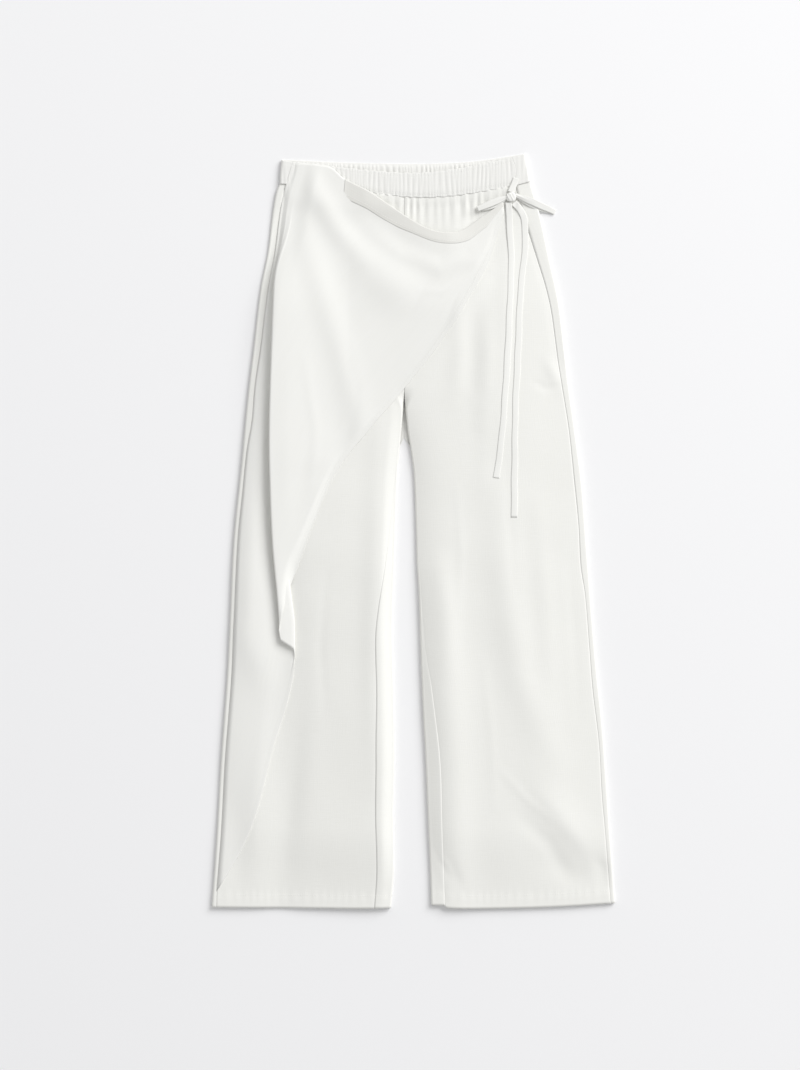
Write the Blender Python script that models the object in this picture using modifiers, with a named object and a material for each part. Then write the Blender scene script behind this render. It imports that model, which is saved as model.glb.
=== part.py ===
"""Wrap pants lying flat, waist at +Y, underside on the plane z = 0.

Wide trousers with a gathered waistband and an asymmetric panel that is sewn into the left side
seam, crosses the front and ties in a bow at the right hip. Left and right are as seen from above.
Tables are in millimetres; every point is turned into metres when its mesh is made.
"""

import math
import random

import bmesh
import bpy
import numpy as np
from mathutils import Vector

MM = 0.001

# Cloth, seams and the height of the flattened garment
CLOTH = 1.2
SEAM = 0.3
LOW_Z = CLOTH / 2
HIGH_Z = 5.4
EDGE_RADIUS = (HIGH_Z - LOW_Z) / 2
EDGE_INSET = EDGE_RADIUS + CLOTH / 2
FRONT_TOP = HIGH_Z + CLOTH / 2

# Waistband: two layers of cloth round an elastic
BAND_CLOTH = 2.0
BAND_TOP = 7.2
BAND_RADIUS = BAND_TOP / 2
BAND_GATHERS = 40
BAND_RIPPLE = 0.45
GATHER_LIFT = 1.0
GATHER_DIP = 0.6

# Length of the garment
HEM_Y = -519.0
HEM_DEPTH = 20.0
HEM_LIFT = 0.4
FORK_Y = 192.0
SEAT_Y = 128.0
CENTRE_X = -12.9

# Ties: narrow folded strips of the same cloth
TIE_CLOTH = 1.5
TIE_GAP = 0.45
TIE_CROWN = 0.25
STRAND_GAP = 0.6

# Outlines and seams of the legs, rows of (y, x)
LEFT_OUTER = ((-521, -278.6), (-418, -271.4), (-319, -265.8), (-203, -257.3), (-127, -253.4),
              (-12, -248), (98, -236.8), (184, -228.7), (249, -221), (336, -210.6), (385, -201),
              (442, -194), (469, -189), (479, -184.6))
LEFT_SEAM = ((-521, -272.2), (-497, -271.4), (-418, -265.5), (-319, -260), (-203, -251),
             (-127, -247.5), (-12, -242), (54, -235.5), (109, -229.9), (153, -222.6),
             (198, -218.9), (249, -211), (336, -200), (385, -191), (442, -184), (469, -178.6),
             (479, -175.6))
LEFT_INNER = ((-521, -31), (-468, -27), (-387, -27.5), (-316, -26), (-225, -27), (-128, -29),
              (-26, -25.5), (77, -22), (128, -17.6), (160, -14.8), (192, -13.3), (480, -13.1))
RIGHT_OUTER = ((-521, 279), (-421, 271.6), (-344, 266.5), (-269, 261), (-191, 253), (-123, 247.1),
               (-22, 239.3), (65, 232.7), (142, 222.9), (206, 213.9), (264, 207.2), (318, 200.4),
               (373, 188.5), (436, 174.7), (478, 162.3))
RIGHT_SEAM = ((-521, 273), (-398, 263), (-365, 260), (-293, 256), (-217, 247), (-164, 243),
              (-90, 237), (-48, 230.6), (8, 227.7), (75, 221), (142, 214), (207, 203.5),
              (235, 199), (302, 190), (337, 182), (376, 170), (418, 156.7), (453, 146), (478, 139.8))
RIGHT_INNER = ((-521, 24.6), (-468, 23), (-387, 19.7), (-309, 16.6), (-254, 13.5), (-177, 10.4),
               (-90, 7.6), (-40, 4.8), (7, 3.5), (77, 0.7), (106, -2.8), (138, -8), (165, -10.8),
               (192, -12.6), (480, -12.7))

# Inseam's place, rows of (y, millimetres past the top of the inner edge; below zero is on the front)
LEFT_INSEAM = ((-521, -20), (-302, -23), (-225, -21), (-148, -20.5), (-109, -17), (-51, -10),
               (20, -4), (77, 0), (95, 1.5), (110, 3.3), (128, 5))
RIGHT_INSEAM = ((-521, -15.5), (-420, -15.8), (-316, -16.8), (-220, -10.5), (-164, -3.4), (-95, 0),
                (0, 1.6), (60, 2.6), (95, 3), (110, 3.5), (128, 5))

# Rows of every leg panel, from hem to waist
LEG_ROWS = (-519, -500, -494, -440, -370, -300, -230, -164, -109, -51, 0, 45, 77, 95, 110, 128,
            150, 172, 192, 240, 300, 350, 395, 425, 445, 458, 466)

# Hem line of the legs and the edges of the waistband, rows of (x, y)
HEM_LINE = ((-278, -519), (-150, -520), (-33, -520), (25, -516), (60, -520), (120, -520.5),
            (204, -518), (279, -513))
BAND_FRONT_FOOT = ((-185, 478.5), (-140, 476), (-90, 471), (-45, 464), (0, 460), (45, 461),
                   (90, 467), (140, 476), (162, 482))
BAND_FRONT_HEAD = ((-185, 512), (-165, 508.5), (-115, 503), (-60, 497), (0, 493.5), (57, 499),
                   (95, 506), (136, 515), (155, 520.4))
BAND_BACK_FOOT = ((-185, 478.5), (162, 482))
BAND_BACK_HEAD = ((-185, 512.6), (-165, 512), (-100, 509), (0, 506.8), (57, 508.5), (89, 511),
                  (137, 518), (155, 521))

# Ends of the waistband, rows of (y, x)
BAND_LEFT_OUTER = ((478, -184.4), (496, -183.4), (514, -181.6))
BAND_RIGHT_OUTER = ((478, 162.3), (498.5, 158), (521, 154.5))
BAND_LEFT_SEAM = ((478, -175.6), (490, -172), (512, -165.6))
BAND_RIGHT_SEAM = ((476, 139.8), (492, 140.5), (500, 140.6), (516, 134.6))

# Soft folds of the leg fronts: height, half width, then the line they follow
FRONT_FOLDS = (
    (1.3, 11, ((36, -40), (48, -120), (50, -190))),
    (-1.4, 12, ((148, -395), (186, -430), (214, -480))),
    (1.2, 13, ((172, -360), (212, -408), (246, -452))),
    (-1.5, 10, ((254, -452), (262, -480), (268, -500))),
    (-1.1, 14, ((88, 330), (84, 240), (82, 140))),
    (1.0, 13, ((112, 330), (104, 200), (96, 60))),
    (1.2, 9, ((184, 236), (192, 218), (200, 196))),
    (-1.2, 8, ((50, -455), (58, -478), (66, -500))),
    (1.1, 12, ((-60, -60), (-82, -210), (-74, -380))),
    (-1.0, 15, ((-150, -190), (-160, -320), (-176, -450))),
    (1.0, 14, ((170, 40), (182, -110), (190, -250))),
)

# Wrap panel: top edge and slanted hem, rows of (share along the panel, x, y)
WRAP_HEAD_Y = 507.0
WRAP_HEAD_X = (-164.0, -152.0)
WRAP_SEAM_INSET = 1.2
WRAP_TOP = ((0.0, WRAP_HEAD_X[1], WRAP_HEAD_Y), (0.1, -132, 505), (0.19, -113, 501),
            (0.27, -95, 486), (0.4, -61.5, 468), (0.5, -36, 451), (0.6, -8, 432), (0.7, 20.7, 416),
            (0.79, 46, 411), (0.87, 68, 415), (0.94, 92, 432), (1.0, 118, 448))
WRAP_HEM = ((0.0, -182.5, -123), (0.07, -169, -86), (0.15, -150.5, -44), (0.3, -107, 75),
            (0.48, -58, 143), (0.62, -16, 192), (0.76, 46, 272), (0.87, 94.6, 352),
            (0.93, 106, 377), (0.97, 116, 412), (1.0, 120.5, 434))
WRAP_FRONT_SHARES = (0.0, 0.025, 0.06, 0.1, 0.14, 0.19, 0.27, 0.33, 0.4, 0.47, 0.54, 0.61, 0.68, 0.74,
                     0.8, 0.86, 0.91, 0.95, 1.0)
FACING_WIDTH = 22.0
FACING_FROM = 6

# The panel's overhanging fold: rows of (y, x of its edge, how far the cloth tucks under it)
FOLD_EDGE = ((-520, -185, 21), (-185, -185, 20), (-126, -184.4, 19.5), (-97, -186.4, 18),
             (-12, -194, 15), (98, -198, 11.5), (153, -198, 10), (243, -195.4, 8), (333, -192, 5.5),
             (413, -188, 3), (470, -178, 0), (512, -165, 0))
FOLD_TUCK_RADIUS = 1.25
FOLD_RISE = 1.0
FOLD_EDGE_RADIUS = 1.65
FOLD_HEIGHT = 2 * FOLD_TUCK_RADIUS + FOLD_RISE + 2 * FOLD_EDGE_RADIUS
FOLD_GROWS = (415, 485)
FOLD_TUCKS = (330, 430)
FOLD_REACH = 26.0
PLAIN_SPACING = ((0, 0.0), (5, 2.0), (9, 6.8), (11, 9.0), (16, 15.5))

# Hem of the cloth below the fold: rows of (share from the side seam to the tuck, y)
UNDER_HEM = ((0.0, -497), (0.35, -425), (0.5, -380), (0.69, -300), (0.87, -247), (1.0, -200))
TUCK_HEM_Y = -185.0
EDGE_HEM_Y = -123.0

# Soft folds of the wrap panel: height, half width, then the line they follow
WRAP_FOLDS = (
    (3.2, 13, ((-156, 480), (-140, 421), (-114, 356), (-75, 290))),
    (2.6, 15, ((-118, 470), (-95, 423), (-53, 367), (2, 319))),
    (1.8, 11, ((-168, 400), (-159, 310), (-143, 236), (-128, 160))),
    (2.6, 12, ((-85, 440), (-19, 391), (37, 366), (80, 374), (104, 400))),
    (1.8, 15, ((-95, 395), (-26, 333), (37, 308), (80, 326))),
    (1.4, 17, ((-120, 120), (-134, 20), (-146, -30))),
)

# Ties: rows of (x, y, height of the middle above what lies below)
TIE_LONG = ((137, 447.5, 1.6), (148, 440, 0.6), (153.4, 424, 0.0), (153.5, 389, 0.0),
            (147.5, 326, 0.0), (143, 231, 0.0), (139.6, 137, 0.0), (138.8, 18.6, 0.0))
TIE_SHORT = ((129, 447, 2.2), (131.5, 430, 1.0), (134.6, 365, 0.0), (132, 294, 0.0), (127, 199, 0.0),
             (122, 137, 0.0), (114, 73, 0.0))
TIE_STRAND = ((141.5, 486, 0.3), (139, 478, 1.0), (134.5, 466.5, 2.4))
TIE_WIDTH = 8.5
LOOP_WIDTH = 9.5

# Bow: knot's middle and half sizes, then each loop's start, tip and the heights of both
KNOT = (129.0, 457.0, 11.2)
KNOT_HALF = (7.0, 6.4, 3.6)
KNOT_CAGE = 1.35
LOOP_LEFT = ((120.1, 457.6), (93.0, 447.0), 12.6, 11.0)
LOOP_RIGHT = ((137.4, 459.0), (193.0, 443.0), 11.6, 7.8)
LOOP_BEND = 1.7
LOOP_PUFF = 1.2
LOOP_STEPS = 14
LOOP_TIP_TURN = (0.4, 0.6)


def clear_scene():
    for item in list(bpy.data.objects):
        bpy.data.objects.remove(item, do_unlink=True)


def cloth_material(name, colour, roughness):
    """Matte woven cloth: a Principled BSDF with no metal in it."""
    material = bpy.data.materials.new(name)
    material.use_nodes = True
    shader = material.node_tree.nodes["Principled BSDF"]
    shader.inputs["Base Color"].default_value = (*colour, 1.0)
    shader.inputs["Roughness"].default_value = roughness
    shader.inputs["Metallic"].default_value = 0.0
    material.diffuse_color = (*colour, 1.0)
    return material


def along(rows, at):
    """Smooth value, or values, of a table's later columns where its first column is at."""
    keys = [row[0] for row in rows]
    at = min(max(at, keys[0]), keys[-1])
    last = len(rows) - 1
    place = min(max(int(np.searchsorted(keys, at, side="right")) - 1, 0), last - 1)
    span = keys[place + 1] - keys[place]
    part = (at - keys[place]) / span

    def slope(index, column):
        before, after = max(index - 1, 0), min(index + 1, last)
        return (rows[after][column] - rows[before][column]) / (keys[after] - keys[before])

    values = []
    for column in range(1, len(rows[0])):
        start, end = rows[place][column], rows[place + 1][column]
        leave, arrive = slope(place, column) * span, slope(place + 1, column) * span
        values.append(
            (2 * part**3 - 3 * part**2 + 1) * start
            + (part**3 - 2 * part**2 + part) * leave
            + (3 * part**2 - 2 * part**3) * end
            + (part**3 - part**2) * arrive
        )
    return values[0] if len(values) == 1 else values


def ease(value, low, high):
    """0 below low, 1 above high, and a smooth step between them."""
    part = min(max((value - low) / (high - low), 0.0), 1.0)
    return part * part * (3 - 2 * part)


def mix(start, end, part):
    return start + (end - start) * part


def fold_height(folds, x, y):
    """Height at (x, y) of a table of soft ridges and troughs, each fading at its ends."""
    total = 0.0
    for height, width, line in folds:
        nearest, where = None, 0.0
        for index in range(len(line) - 1):
            (ax, ay), (bx, by) = line[index], line[index + 1]
            run_x, run_y = bx - ax, by - ay
            part = ((x - ax) * run_x + (y - ay) * run_y) / (run_x**2 + run_y**2)
            part = min(max(part, 0.0), 1.0)
            away = math.hypot(x - ax - part * run_x, y - ay - part * run_y)
            if nearest is None or away < nearest:
                nearest, where = away, (index + part) / (len(line) - 1)
        ends = 0.35 + 0.65 * math.sin(math.pi * where)
        total += height * ends * math.exp(-((nearest / width) ** 2))
    return total


def sheet(name, columns, rows, place, wall, material, offset=0.0, weight=None, even=True):
    """A wall of cloth: an open grid whose points place() sets, given thickness by Solidify.

    place takes a column and a row number and gives x, y and z in millimetres. weight, where
    given, takes the same numbers and gives the share of the wall that the point has.
    """
    grid = bmesh.new()
    bmesh.ops.create_grid(grid, x_segments=columns, y_segments=rows, size=0.5)
    shares = []
    for point in grid.verts:
        column = round((point.co.x + 0.5) * columns)
        row = round((point.co.y + 0.5) * rows)
        point.co = Vector(place(column, row)) * MM
        shares.append(weight(column, row) if weight else 1.0)
    mesh = bpy.data.meshes.new(name)
    grid.to_mesh(mesh)
    grid.free()
    mesh.materials.append(material)
    mesh.shade_smooth()
    item = bpy.data.objects.new(name, mesh)
    PIECES.objects.link(item)
    solid = item.modifiers.new("wall", "SOLIDIFY")
    solid.thickness = wall * MM
    solid.offset = offset
    solid.use_even_offset = even
    if weight:
        group = item.vertex_groups.new(name="wall")
        for index, share in enumerate(shares):
            group.add([index], share, "REPLACE")
        solid.vertex_group = group.name
    return item


def gather_shape(x, y):
    """Height that the cloth gathered into the waistband reaches above the plain front."""
    below = along(BAND_FRONT_FOOT, x) - y
    return GATHER_LIFT * (1 - ease(below, 4, 48 + 12 * math.sin(x / 23)))


def front_lift(x, y):
    """Folds and the turned-up hem, added to the height of the leg fronts."""
    hem = HEM_LIFT * (1 - ease(y, HEM_Y + HEM_DEPTH, HEM_Y + HEM_DEPTH + 5))
    calm = ease(y, HEM_Y, HEM_Y + 60)
    return fold_height(FRONT_FOLDS, x, y) * calm + hem


def leg_lines(side):
    """Outer edge, side seam, inner edge and inseam of the left (-1) or right (1) leg."""
    if side < 0:
        return LEFT_OUTER, LEFT_SEAM, LEFT_INNER, LEFT_INSEAM
    return RIGHT_OUTER, RIGHT_SEAM, RIGHT_INNER, RIGHT_INSEAM


def leg_y(row, x, head):
    """Height along the leg of a row's point at x: rows follow the hem and the waist seam."""
    rough_y = LEG_ROWS[row]
    if rough_y >= FORK_Y:
        return mix(FORK_Y, head, (rough_y - FORK_Y) / (LEG_ROWS[-1] - FORK_Y))
    return mix(along(HEM_LINE, x), FORK_Y, (rough_y - HEM_Y) / (FORK_Y - HEM_Y))


def settle(find_x, find_y, y):
    """A point whose x depends on its y and whose y depends on its x, by taking turns."""
    x = find_x(y)
    for _ in range(2):
        y = find_y(x)
        x = find_x(y)
    return x, find_y(x)


def inner_turn(side, y, past):
    """Point past the top of the leg's inner edge, measured round that edge towards the back."""
    inner = along(leg_lines(side)[2], y)
    middle = inner + side * EDGE_INSET
    if past <= 0:
        x = middle - side * past
        return x, HIGH_Z + front_lift(x, y)
    angle = past / EDGE_RADIUS
    if angle <= math.pi:
        lift = front_lift(middle, y) * (1 + math.cos(angle)) / 2
        x = middle - side * EDGE_RADIUS * math.sin(angle)
        return x, LOW_Z + EDGE_RADIUS * (1 + math.cos(angle)) + lift
    return middle + side * (past - math.pi * EDGE_RADIUS), LOW_Z


FRONT_COLUMNS = 24
FRONT_TURN = (0.0, 0.38, 0.7, 0.92, 1.0)
BACK_TURN = (0.0, 0.2, 0.4, 0.6, 0.78, 0.93, 1.0)
TURN_WIDTH = 2.0
CROTCH_WIDTH = 8.0
CROTCH_EASE = 0.5


def leg_front(side, name, material):
    """Front panel, from the side seam across to the centre seam and, lower down, the inseam."""
    _, seam_line, inner_line, inseam_line = leg_lines(side)
    flat_columns = FRONT_COLUMNS - len(FRONT_TURN) + 1

    def place(column, row):
        if side < 0:
            step = column
        else:
            step = FRONT_COLUMNS - column
        rough_y = LEG_ROWS[row]
        share = step / FRONT_COLUMNS

        def across(at):
            inner = CENTRE_X if rough_y >= FORK_Y else along(inner_line, at)
            return mix(along(seam_line, at) - side * SEAM / 2, inner + side * SEAM / 2, share)

        def up(at):
            return leg_y(row, at, along(BAND_FRONT_FOOT, at) - SEAM)

        x, y = settle(across, up, rough_y)
        seam = along(seam_line, y) - side * SEAM / 2
        if rough_y >= FORK_Y:
            z = HIGH_Z + front_lift(x, y)
        else:
            at_crotch = ease(y, 80, 105) * (1 - ease(y, 150, 170))
            end = along(inseam_line, y) - SEAM / 2 - CROTCH_EASE * at_crotch
            flat_end = min(end, 0.0) - TURN_WIDTH
            if step <= flat_columns:
                start = abs(along(inner_line, y) + side * EDGE_INSET - seam)
                x, z = inner_turn(side, y, mix(-start, flat_end, step / flat_columns))
            else:
                x, z = inner_turn(side, y, mix(flat_end, end, FRONT_TURN[step - flat_columns]))
        pleat = gather_shape(x, y)
        inside = min(step, FRONT_COLUMNS - step)
        if pleat > 0.02 and inside > 0:
            z += pleat * GATHER_DEPTHS[side][column] * (1 if column % 2 else -GATHER_DIP)
        return x, y, z

    return sheet(name, FRONT_COLUMNS, len(LEG_ROWS) - 1, place, CLOTH, material)


SIDE_STEPS = 2
TURN_STEPS = 4
FLAT_STEPS = 3


def leg_back(side, name, material):
    """Back panel, from the side seam round the outer edge, across the floor, to the inseam."""
    outer_line, seam_line, inner_line, inseam_line = leg_lines(side)
    columns = SIDE_STEPS + TURN_STEPS + FLAT_STEPS + TURN_STEPS + SIDE_STEPS

    def place(column, row):
        if side < 0:
            step = column
        else:
            step = columns - column
        rough_y = LEG_ROWS[row]
        floor_share = ease(step, SIDE_STEPS, SIDE_STEPS + TURN_STEPS)
        inward = step - SIDE_STEPS - TURN_STEPS
        turned = max(inward - FLAT_STEPS, 0)

        def across(at):
            outer_at = along(outer_line, at) - side * EDGE_INSET
            if step <= SIDE_STEPS:
                return mix(along(seam_line, at) + side * SEAM / 2, outer_at, step / SIDE_STEPS)
            if rough_y < SEAT_Y:
                inner_at = along(inner_line, at) + side * EDGE_INSET
                return mix(outer_at, inner_at, min(max(inward, 0) / FLAT_STEPS, 1.0))
            centre = CENTRE_X + side * (SEAM / 2 + CROTCH_WIDTH * (1 - BACK_TURN[turned]))
            return mix(outer_at, centre, min(max(inward, 0) / FLAT_STEPS, 1.0))

        def up(at):
            front, back = along(BAND_FRONT_FOOT, at), along(BAND_BACK_FOOT, at)
            return leg_y(row, at, mix(front, back, floor_share) - SEAM)

        x, y = settle(across, up, rough_y)
        outer = along(outer_line, y) - side * EDGE_INSET
        if step <= SIDE_STEPS:
            seam = along(seam_line, y) + side * SEAM / 2
            x = mix(seam, outer, step / SIDE_STEPS)
            return x, y, HIGH_Z + front_lift(x, y)
        if step <= SIDE_STEPS + TURN_STEPS:
            angle = math.pi * (step - SIDE_STEPS) / TURN_STEPS
            lift = front_lift(outer, y) * (1 + math.cos(angle)) / 2
            x = outer + side * EDGE_RADIUS * math.sin(angle)
            return x, y, LOW_Z + EDGE_RADIUS * (1 + math.cos(angle)) + lift
        if rough_y >= SEAT_Y or inward <= FLAT_STEPS:
            return x, y, LOW_Z
        end = along(inseam_line, y) + SEAM / 2
        whole = math.pi * EDGE_RADIUS
        even = mix(whole, end, BACK_TURN[turned])
        if turned <= TURN_STEPS:
            split = mix(whole, 0.0, turned / TURN_STEPS)
        else:
            split = mix(0.0, end, (turned - TURN_STEPS) / SIDE_STEPS)
        x, z = inner_turn(side, y, mix(even, split, ease(-end, 3, 12)))
        return x, y, z

    return sheet(name, columns, len(LEG_ROWS) - 1, place, CLOTH, material)


BAND_ROWS = 2


def ripple(index, count, seed):
    """Uneven rise and fall of gather number index of count, level at both ends."""
    ends = ease(min(index, count - index), 0, 3)
    depth = 0.6 + 0.4 * random.Random(seed + index).random()
    return ends * depth * (1 if index % 2 else -1)


def waistband_front(material):
    """Front half of the elastic band, from seam to seam, with its gathers in the outer face."""
    columns = 2 * BAND_GATHERS

    def place(column, row):
        share = column / columns
        level = row / BAND_ROWS
        lean = 1.1 * math.sin(share * 31) * (level - 0.5) * ease(min(share, 1 - share), 0, 0.05)

        def across(at):
            left = along(BAND_LEFT_SEAM, at) + SEAM / 2
            return mix(left, along(BAND_RIGHT_SEAM, at) - SEAM / 2, share) + lean

        def up(at):
            return mix(along(BAND_FRONT_FOOT, at), along(BAND_FRONT_HEAD, at), level)

        x, y = settle(across, up, 490.0)
        return x, y, BAND_TOP - BAND_RIPPLE + BAND_RIPPLE * ripple(column, columns, 11)

    return sheet("waistband_front", columns, BAND_ROWS, place, BAND_CLOTH, material, offset=-1.0)


BAND_END_STEPS = 3
BAND_TURN_STEPS = 4


def waistband_back(material):
    """Back half of the band: flat on the floor outside, gathered inside, round both ends."""
    floor_columns = 2 * BAND_GATHERS
    head = BAND_END_STEPS + BAND_TURN_STEPS
    columns = floor_columns + 2 * head

    def place(column, row):
        level = row / BAND_ROWS
        from_end = min(column, columns - column)
        left_half = column < columns / 2
        outer_line = BAND_LEFT_OUTER if left_half else BAND_RIGHT_OUTER
        seam_line = BAND_LEFT_SEAM if left_half else BAND_RIGHT_SEAM
        side = -1 if left_half else 1
        floor_share = ease(from_end, BAND_END_STEPS, head)
        angle = math.pi * (from_end - BAND_END_STEPS) / BAND_TURN_STEPS

        def across(at):
            outer = along(outer_line, at) - side * BAND_RADIUS
            if from_end <= BAND_END_STEPS:
                seam = along(seam_line, at) + side * SEAM / 2
                return mix(seam, outer, from_end / BAND_END_STEPS)
            if from_end <= head:
                return outer + side * BAND_RADIUS * math.sin(angle)
            left = along(BAND_LEFT_OUTER, at) + BAND_RADIUS
            right = along(BAND_RIGHT_OUTER, at) - BAND_RADIUS
            return mix(left, right, (column - head) / floor_columns)

        def up(at):
            foot = mix(along(BAND_FRONT_FOOT, at), along(BAND_BACK_FOOT, at), floor_share)
            top = mix(along(BAND_FRONT_HEAD, at), along(BAND_BACK_HEAD, at), floor_share)
            return mix(foot, top, level)

        x, y = settle(across, up, 490.0)
        if from_end <= BAND_END_STEPS:
            return x, y, BAND_TOP - BAND_RIPPLE
        if from_end <= head:
            return x, y, BAND_RADIUS * (1 + math.cos(angle)) * (1 - BAND_RIPPLE / BAND_TOP)
        return x, y, 0.0

    def weight(column, row):
        inside = column - head
        if 0 < inside < floor_columns:
            return 0.8 + 0.2 * ripple(inside, floor_columns, 57)
        return 0.8

    return sheet("waistband_back", columns, BAND_ROWS, place, BAND_CLOTH, material,
                 offset=1.0, weight=weight)


WRAP_ROWS = 19
UNDER_STEPS = 5
TUCK_STEPS = 4
MIDDLE_STEPS = 2
EDGE_STEPS = 5
FOLD_STEPS = UNDER_STEPS + TUCK_STEPS + MIDDLE_STEPS + EDGE_STEPS


def wrap_base(x, y):
    """Middle height of the wrap's cloth where it lies plain on the front or on the band."""
    above_foot = y - along(BAND_FRONT_FOOT, x)
    band = ease(above_foot, -36, -7)
    under = mix(FRONT_TOP + gather_shape(x, y), BAND_TOP, band)
    return under + SEAM + CLOTH / 2


def fold_section(step, y):
    """Sideways and upward place of one point of the overhanging fold, at height y of the leg."""
    edge, tuck = along(FOLD_EDGE, y)
    seam_line = LEFT_SEAM if y < LEFT_SEAM[-1][0] else BAND_LEFT_SEAM
    seam = along(seam_line, y) + WRAP_SEAM_INSET
    inner_x = edge + tuck
    low = 2 * FOLD_TUCK_RADIUS
    if step <= UNDER_STEPS:
        folded = (mix(seam, inner_x, step / UNDER_STEPS), 0.0)
    elif step <= UNDER_STEPS + TUCK_STEPS:
        angle = math.pi * (step - UNDER_STEPS) / TUCK_STEPS
        folded = (inner_x + FOLD_TUCK_RADIUS * math.sin(angle),
                  FOLD_TUCK_RADIUS * (1 - math.cos(angle)))
    elif step <= UNDER_STEPS + TUCK_STEPS + MIDDLE_STEPS:
        share = (step - UNDER_STEPS - TUCK_STEPS) / (MIDDLE_STEPS + 1)
        folded = (mix(inner_x, edge + FOLD_EDGE_RADIUS, share), low + FOLD_RISE * share)
    else:
        angle = math.pi * (step - UNDER_STEPS - TUCK_STEPS - MIDDLE_STEPS) / EDGE_STEPS
        folded = (edge + FOLD_EDGE_RADIUS * (1 - math.sin(angle)),
                  low + FOLD_RISE + FOLD_EDGE_RADIUS * (1 - math.cos(angle)))
    plain_x = seam + along(PLAIN_SPACING, step)
    x = mix(plain_x, folded[0], 1 - ease(y, *FOLD_TUCKS))
    return x, folded[1] * (1 - ease(y, *FOLD_GROWS))


def fold_hem(step):
    """Height of the leg at which the fold's column number step ends in the hem."""
    if step <= UNDER_STEPS:
        return along(UNDER_HEM, step / UNDER_STEPS)
    return mix(TUCK_HEM_Y, EDGE_HEM_Y, (step - UNDER_STEPS) / (FOLD_STEPS - UNDER_STEPS))


def wrap_point(column, row):
    """Middle of the wrap panel's cloth at a column and a row, the top edge being row 0."""
    folding = column <= FOLD_STEPS
    if folding:
        share = 0.0
        top_x, top_y = mix(*WRAP_HEAD_X, column / FOLD_STEPS), WRAP_HEAD_Y
        hem_y = fold_hem(column)
    else:
        share = WRAP_FRONT_SHARES[column - FOLD_STEPS]
        top_x, top_y = along(WRAP_TOP, share)
        hem_x, hem_y = along(WRAP_HEM, share)
    length = top_y - hem_y
    head = min(FACING_WIDTH, 0.5 * length)
    if row <= 1:
        y = top_y - head * row
    else:
        y = top_y - head - (length - head) * (row - 1) / (WRAP_ROWS - 1)
    if folding:
        x, rise = fold_section(column, y)
        return x, y, wrap_base(x, y) + rise
    run = (top_y - y) / length
    x = mix(top_x, hem_x, run)
    near_edge = (1 - ease(share, 0.0, 0.5)) ** 2
    start_x = fold_section(FOLD_STEPS, y)[0]
    plain_x = mix(along(WRAP_TOP, 0.0)[0], along(WRAP_HEM, 0.0)[0],
                  min(max((WRAP_HEAD_Y - y) / (WRAP_HEAD_Y - EDGE_HEM_Y), 0.0), 1.0))
    x += near_edge * (start_x - plain_x)
    edge, tuck = along(FOLD_EDGE, y)
    grown = 1 - ease(y, *FOLD_GROWS)
    fall = 1 - ease(x - edge - FOLD_EDGE_RADIUS, 1.0, tuck + FOLD_REACH)
    away = ease(x - edge, 8, 30)
    return x, y, wrap_base(x, y) + FOLD_HEIGHT * grown * fall + fold_height(WRAP_FOLDS, x, y) * away


def wrap_panel(material):
    """The overlay: side seam, overhanging fold, cowl and slanted hem in one sheet."""
    columns = FOLD_STEPS + len(WRAP_FRONT_SHARES) - 1
    return sheet("wrap_panel", columns, WRAP_ROWS,
                 lambda column, row: wrap_point(column, WRAP_ROWS - row), CLOTH, material,
                 even=False)


def wrap_facing(material):
    """Strip along the cowl's top edge, lying on the wrap panel."""
    first = FOLD_STEPS + FACING_FROM
    columns = len(WRAP_FRONT_SHARES) - 1 - FACING_FROM

    def place(column, row):
        x, y, z = wrap_point(first + column, 1 - row)
        return x, y, z + CLOTH + SEAM

    return sheet("wrap_facing", columns, 1, place, CLOTH, material)


def surface_below_tie(x, y):
    return FRONT_TOP + front_lift(x, y) + gather_shape(x, y)


def strip(name, rows, steps, width, wall, material, base=None):
    """A narrow tie along a route of (x, y, rise) rows, flat side down."""
    keyed = [(index, *row) for index, row in enumerate(rows)]

    def place(column, row):
        share = (len(rows) - 1) * row / steps
        x, y, rise = along(keyed, share)
        back = along(keyed, max(share - 0.05, 0.0))
        ahead = along(keyed, min(share + 0.05, len(rows) - 1))
        run = Vector((ahead[0] - back[0], ahead[1] - back[1])).normalized()
        shift = width * (column / 2 - 0.5)
        x, y = x + run.y * shift, y - run.x * shift
        if base is None:
            floor = surface_below_tie(x, y) + TIE_GAP + wall / 2
        else:
            floor = base
        crown = TIE_CROWN * (1 - abs(column - 1))
        return x, y, floor + rise + crown

    return sheet(name, 2, steps, place, wall, material)


def bow_loop(name, start, tip, low, high, material):
    """A loop of the tie: out from the knot, round its tip and back above itself."""
    out = Vector(tip) - Vector(start)
    length = out.length
    out.normalize()
    across = Vector((-out.y, out.x))
    tip_from, tip_to = LOOP_TIP_TURN

    def place(column, row):
        turn = row / LOOP_STEPS
        if turn < tip_from:
            run, rise = mix(0.0, length, turn / tip_from), -LOOP_BEND
        elif turn <= tip_to:
            angle = math.pi * (turn - tip_from) / (tip_to - tip_from)
            run, rise = length + LOOP_BEND * math.sin(angle), -LOOP_BEND * math.cos(angle)
        else:
            run, rise = mix(length, 0.0, (turn - tip_to) / (1 - tip_to)), LOOP_BEND
        share = min(run / length, 1.0)
        width = LOOP_WIDTH * (0.55 + 0.45 * ease(share, 0.0, 0.5))
        side = width * (column / 2 - 0.5)
        puff = LOOP_PUFF * math.sin(math.pi * share) * (1 if rise > 0 else -0.2)
        point = Vector(start) + out * run + across * side
        return point.x, point.y, mix(low, high, share) + rise + puff

    return sheet(name, 2, LOOP_STEPS, place, CLOTH, material)


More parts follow.
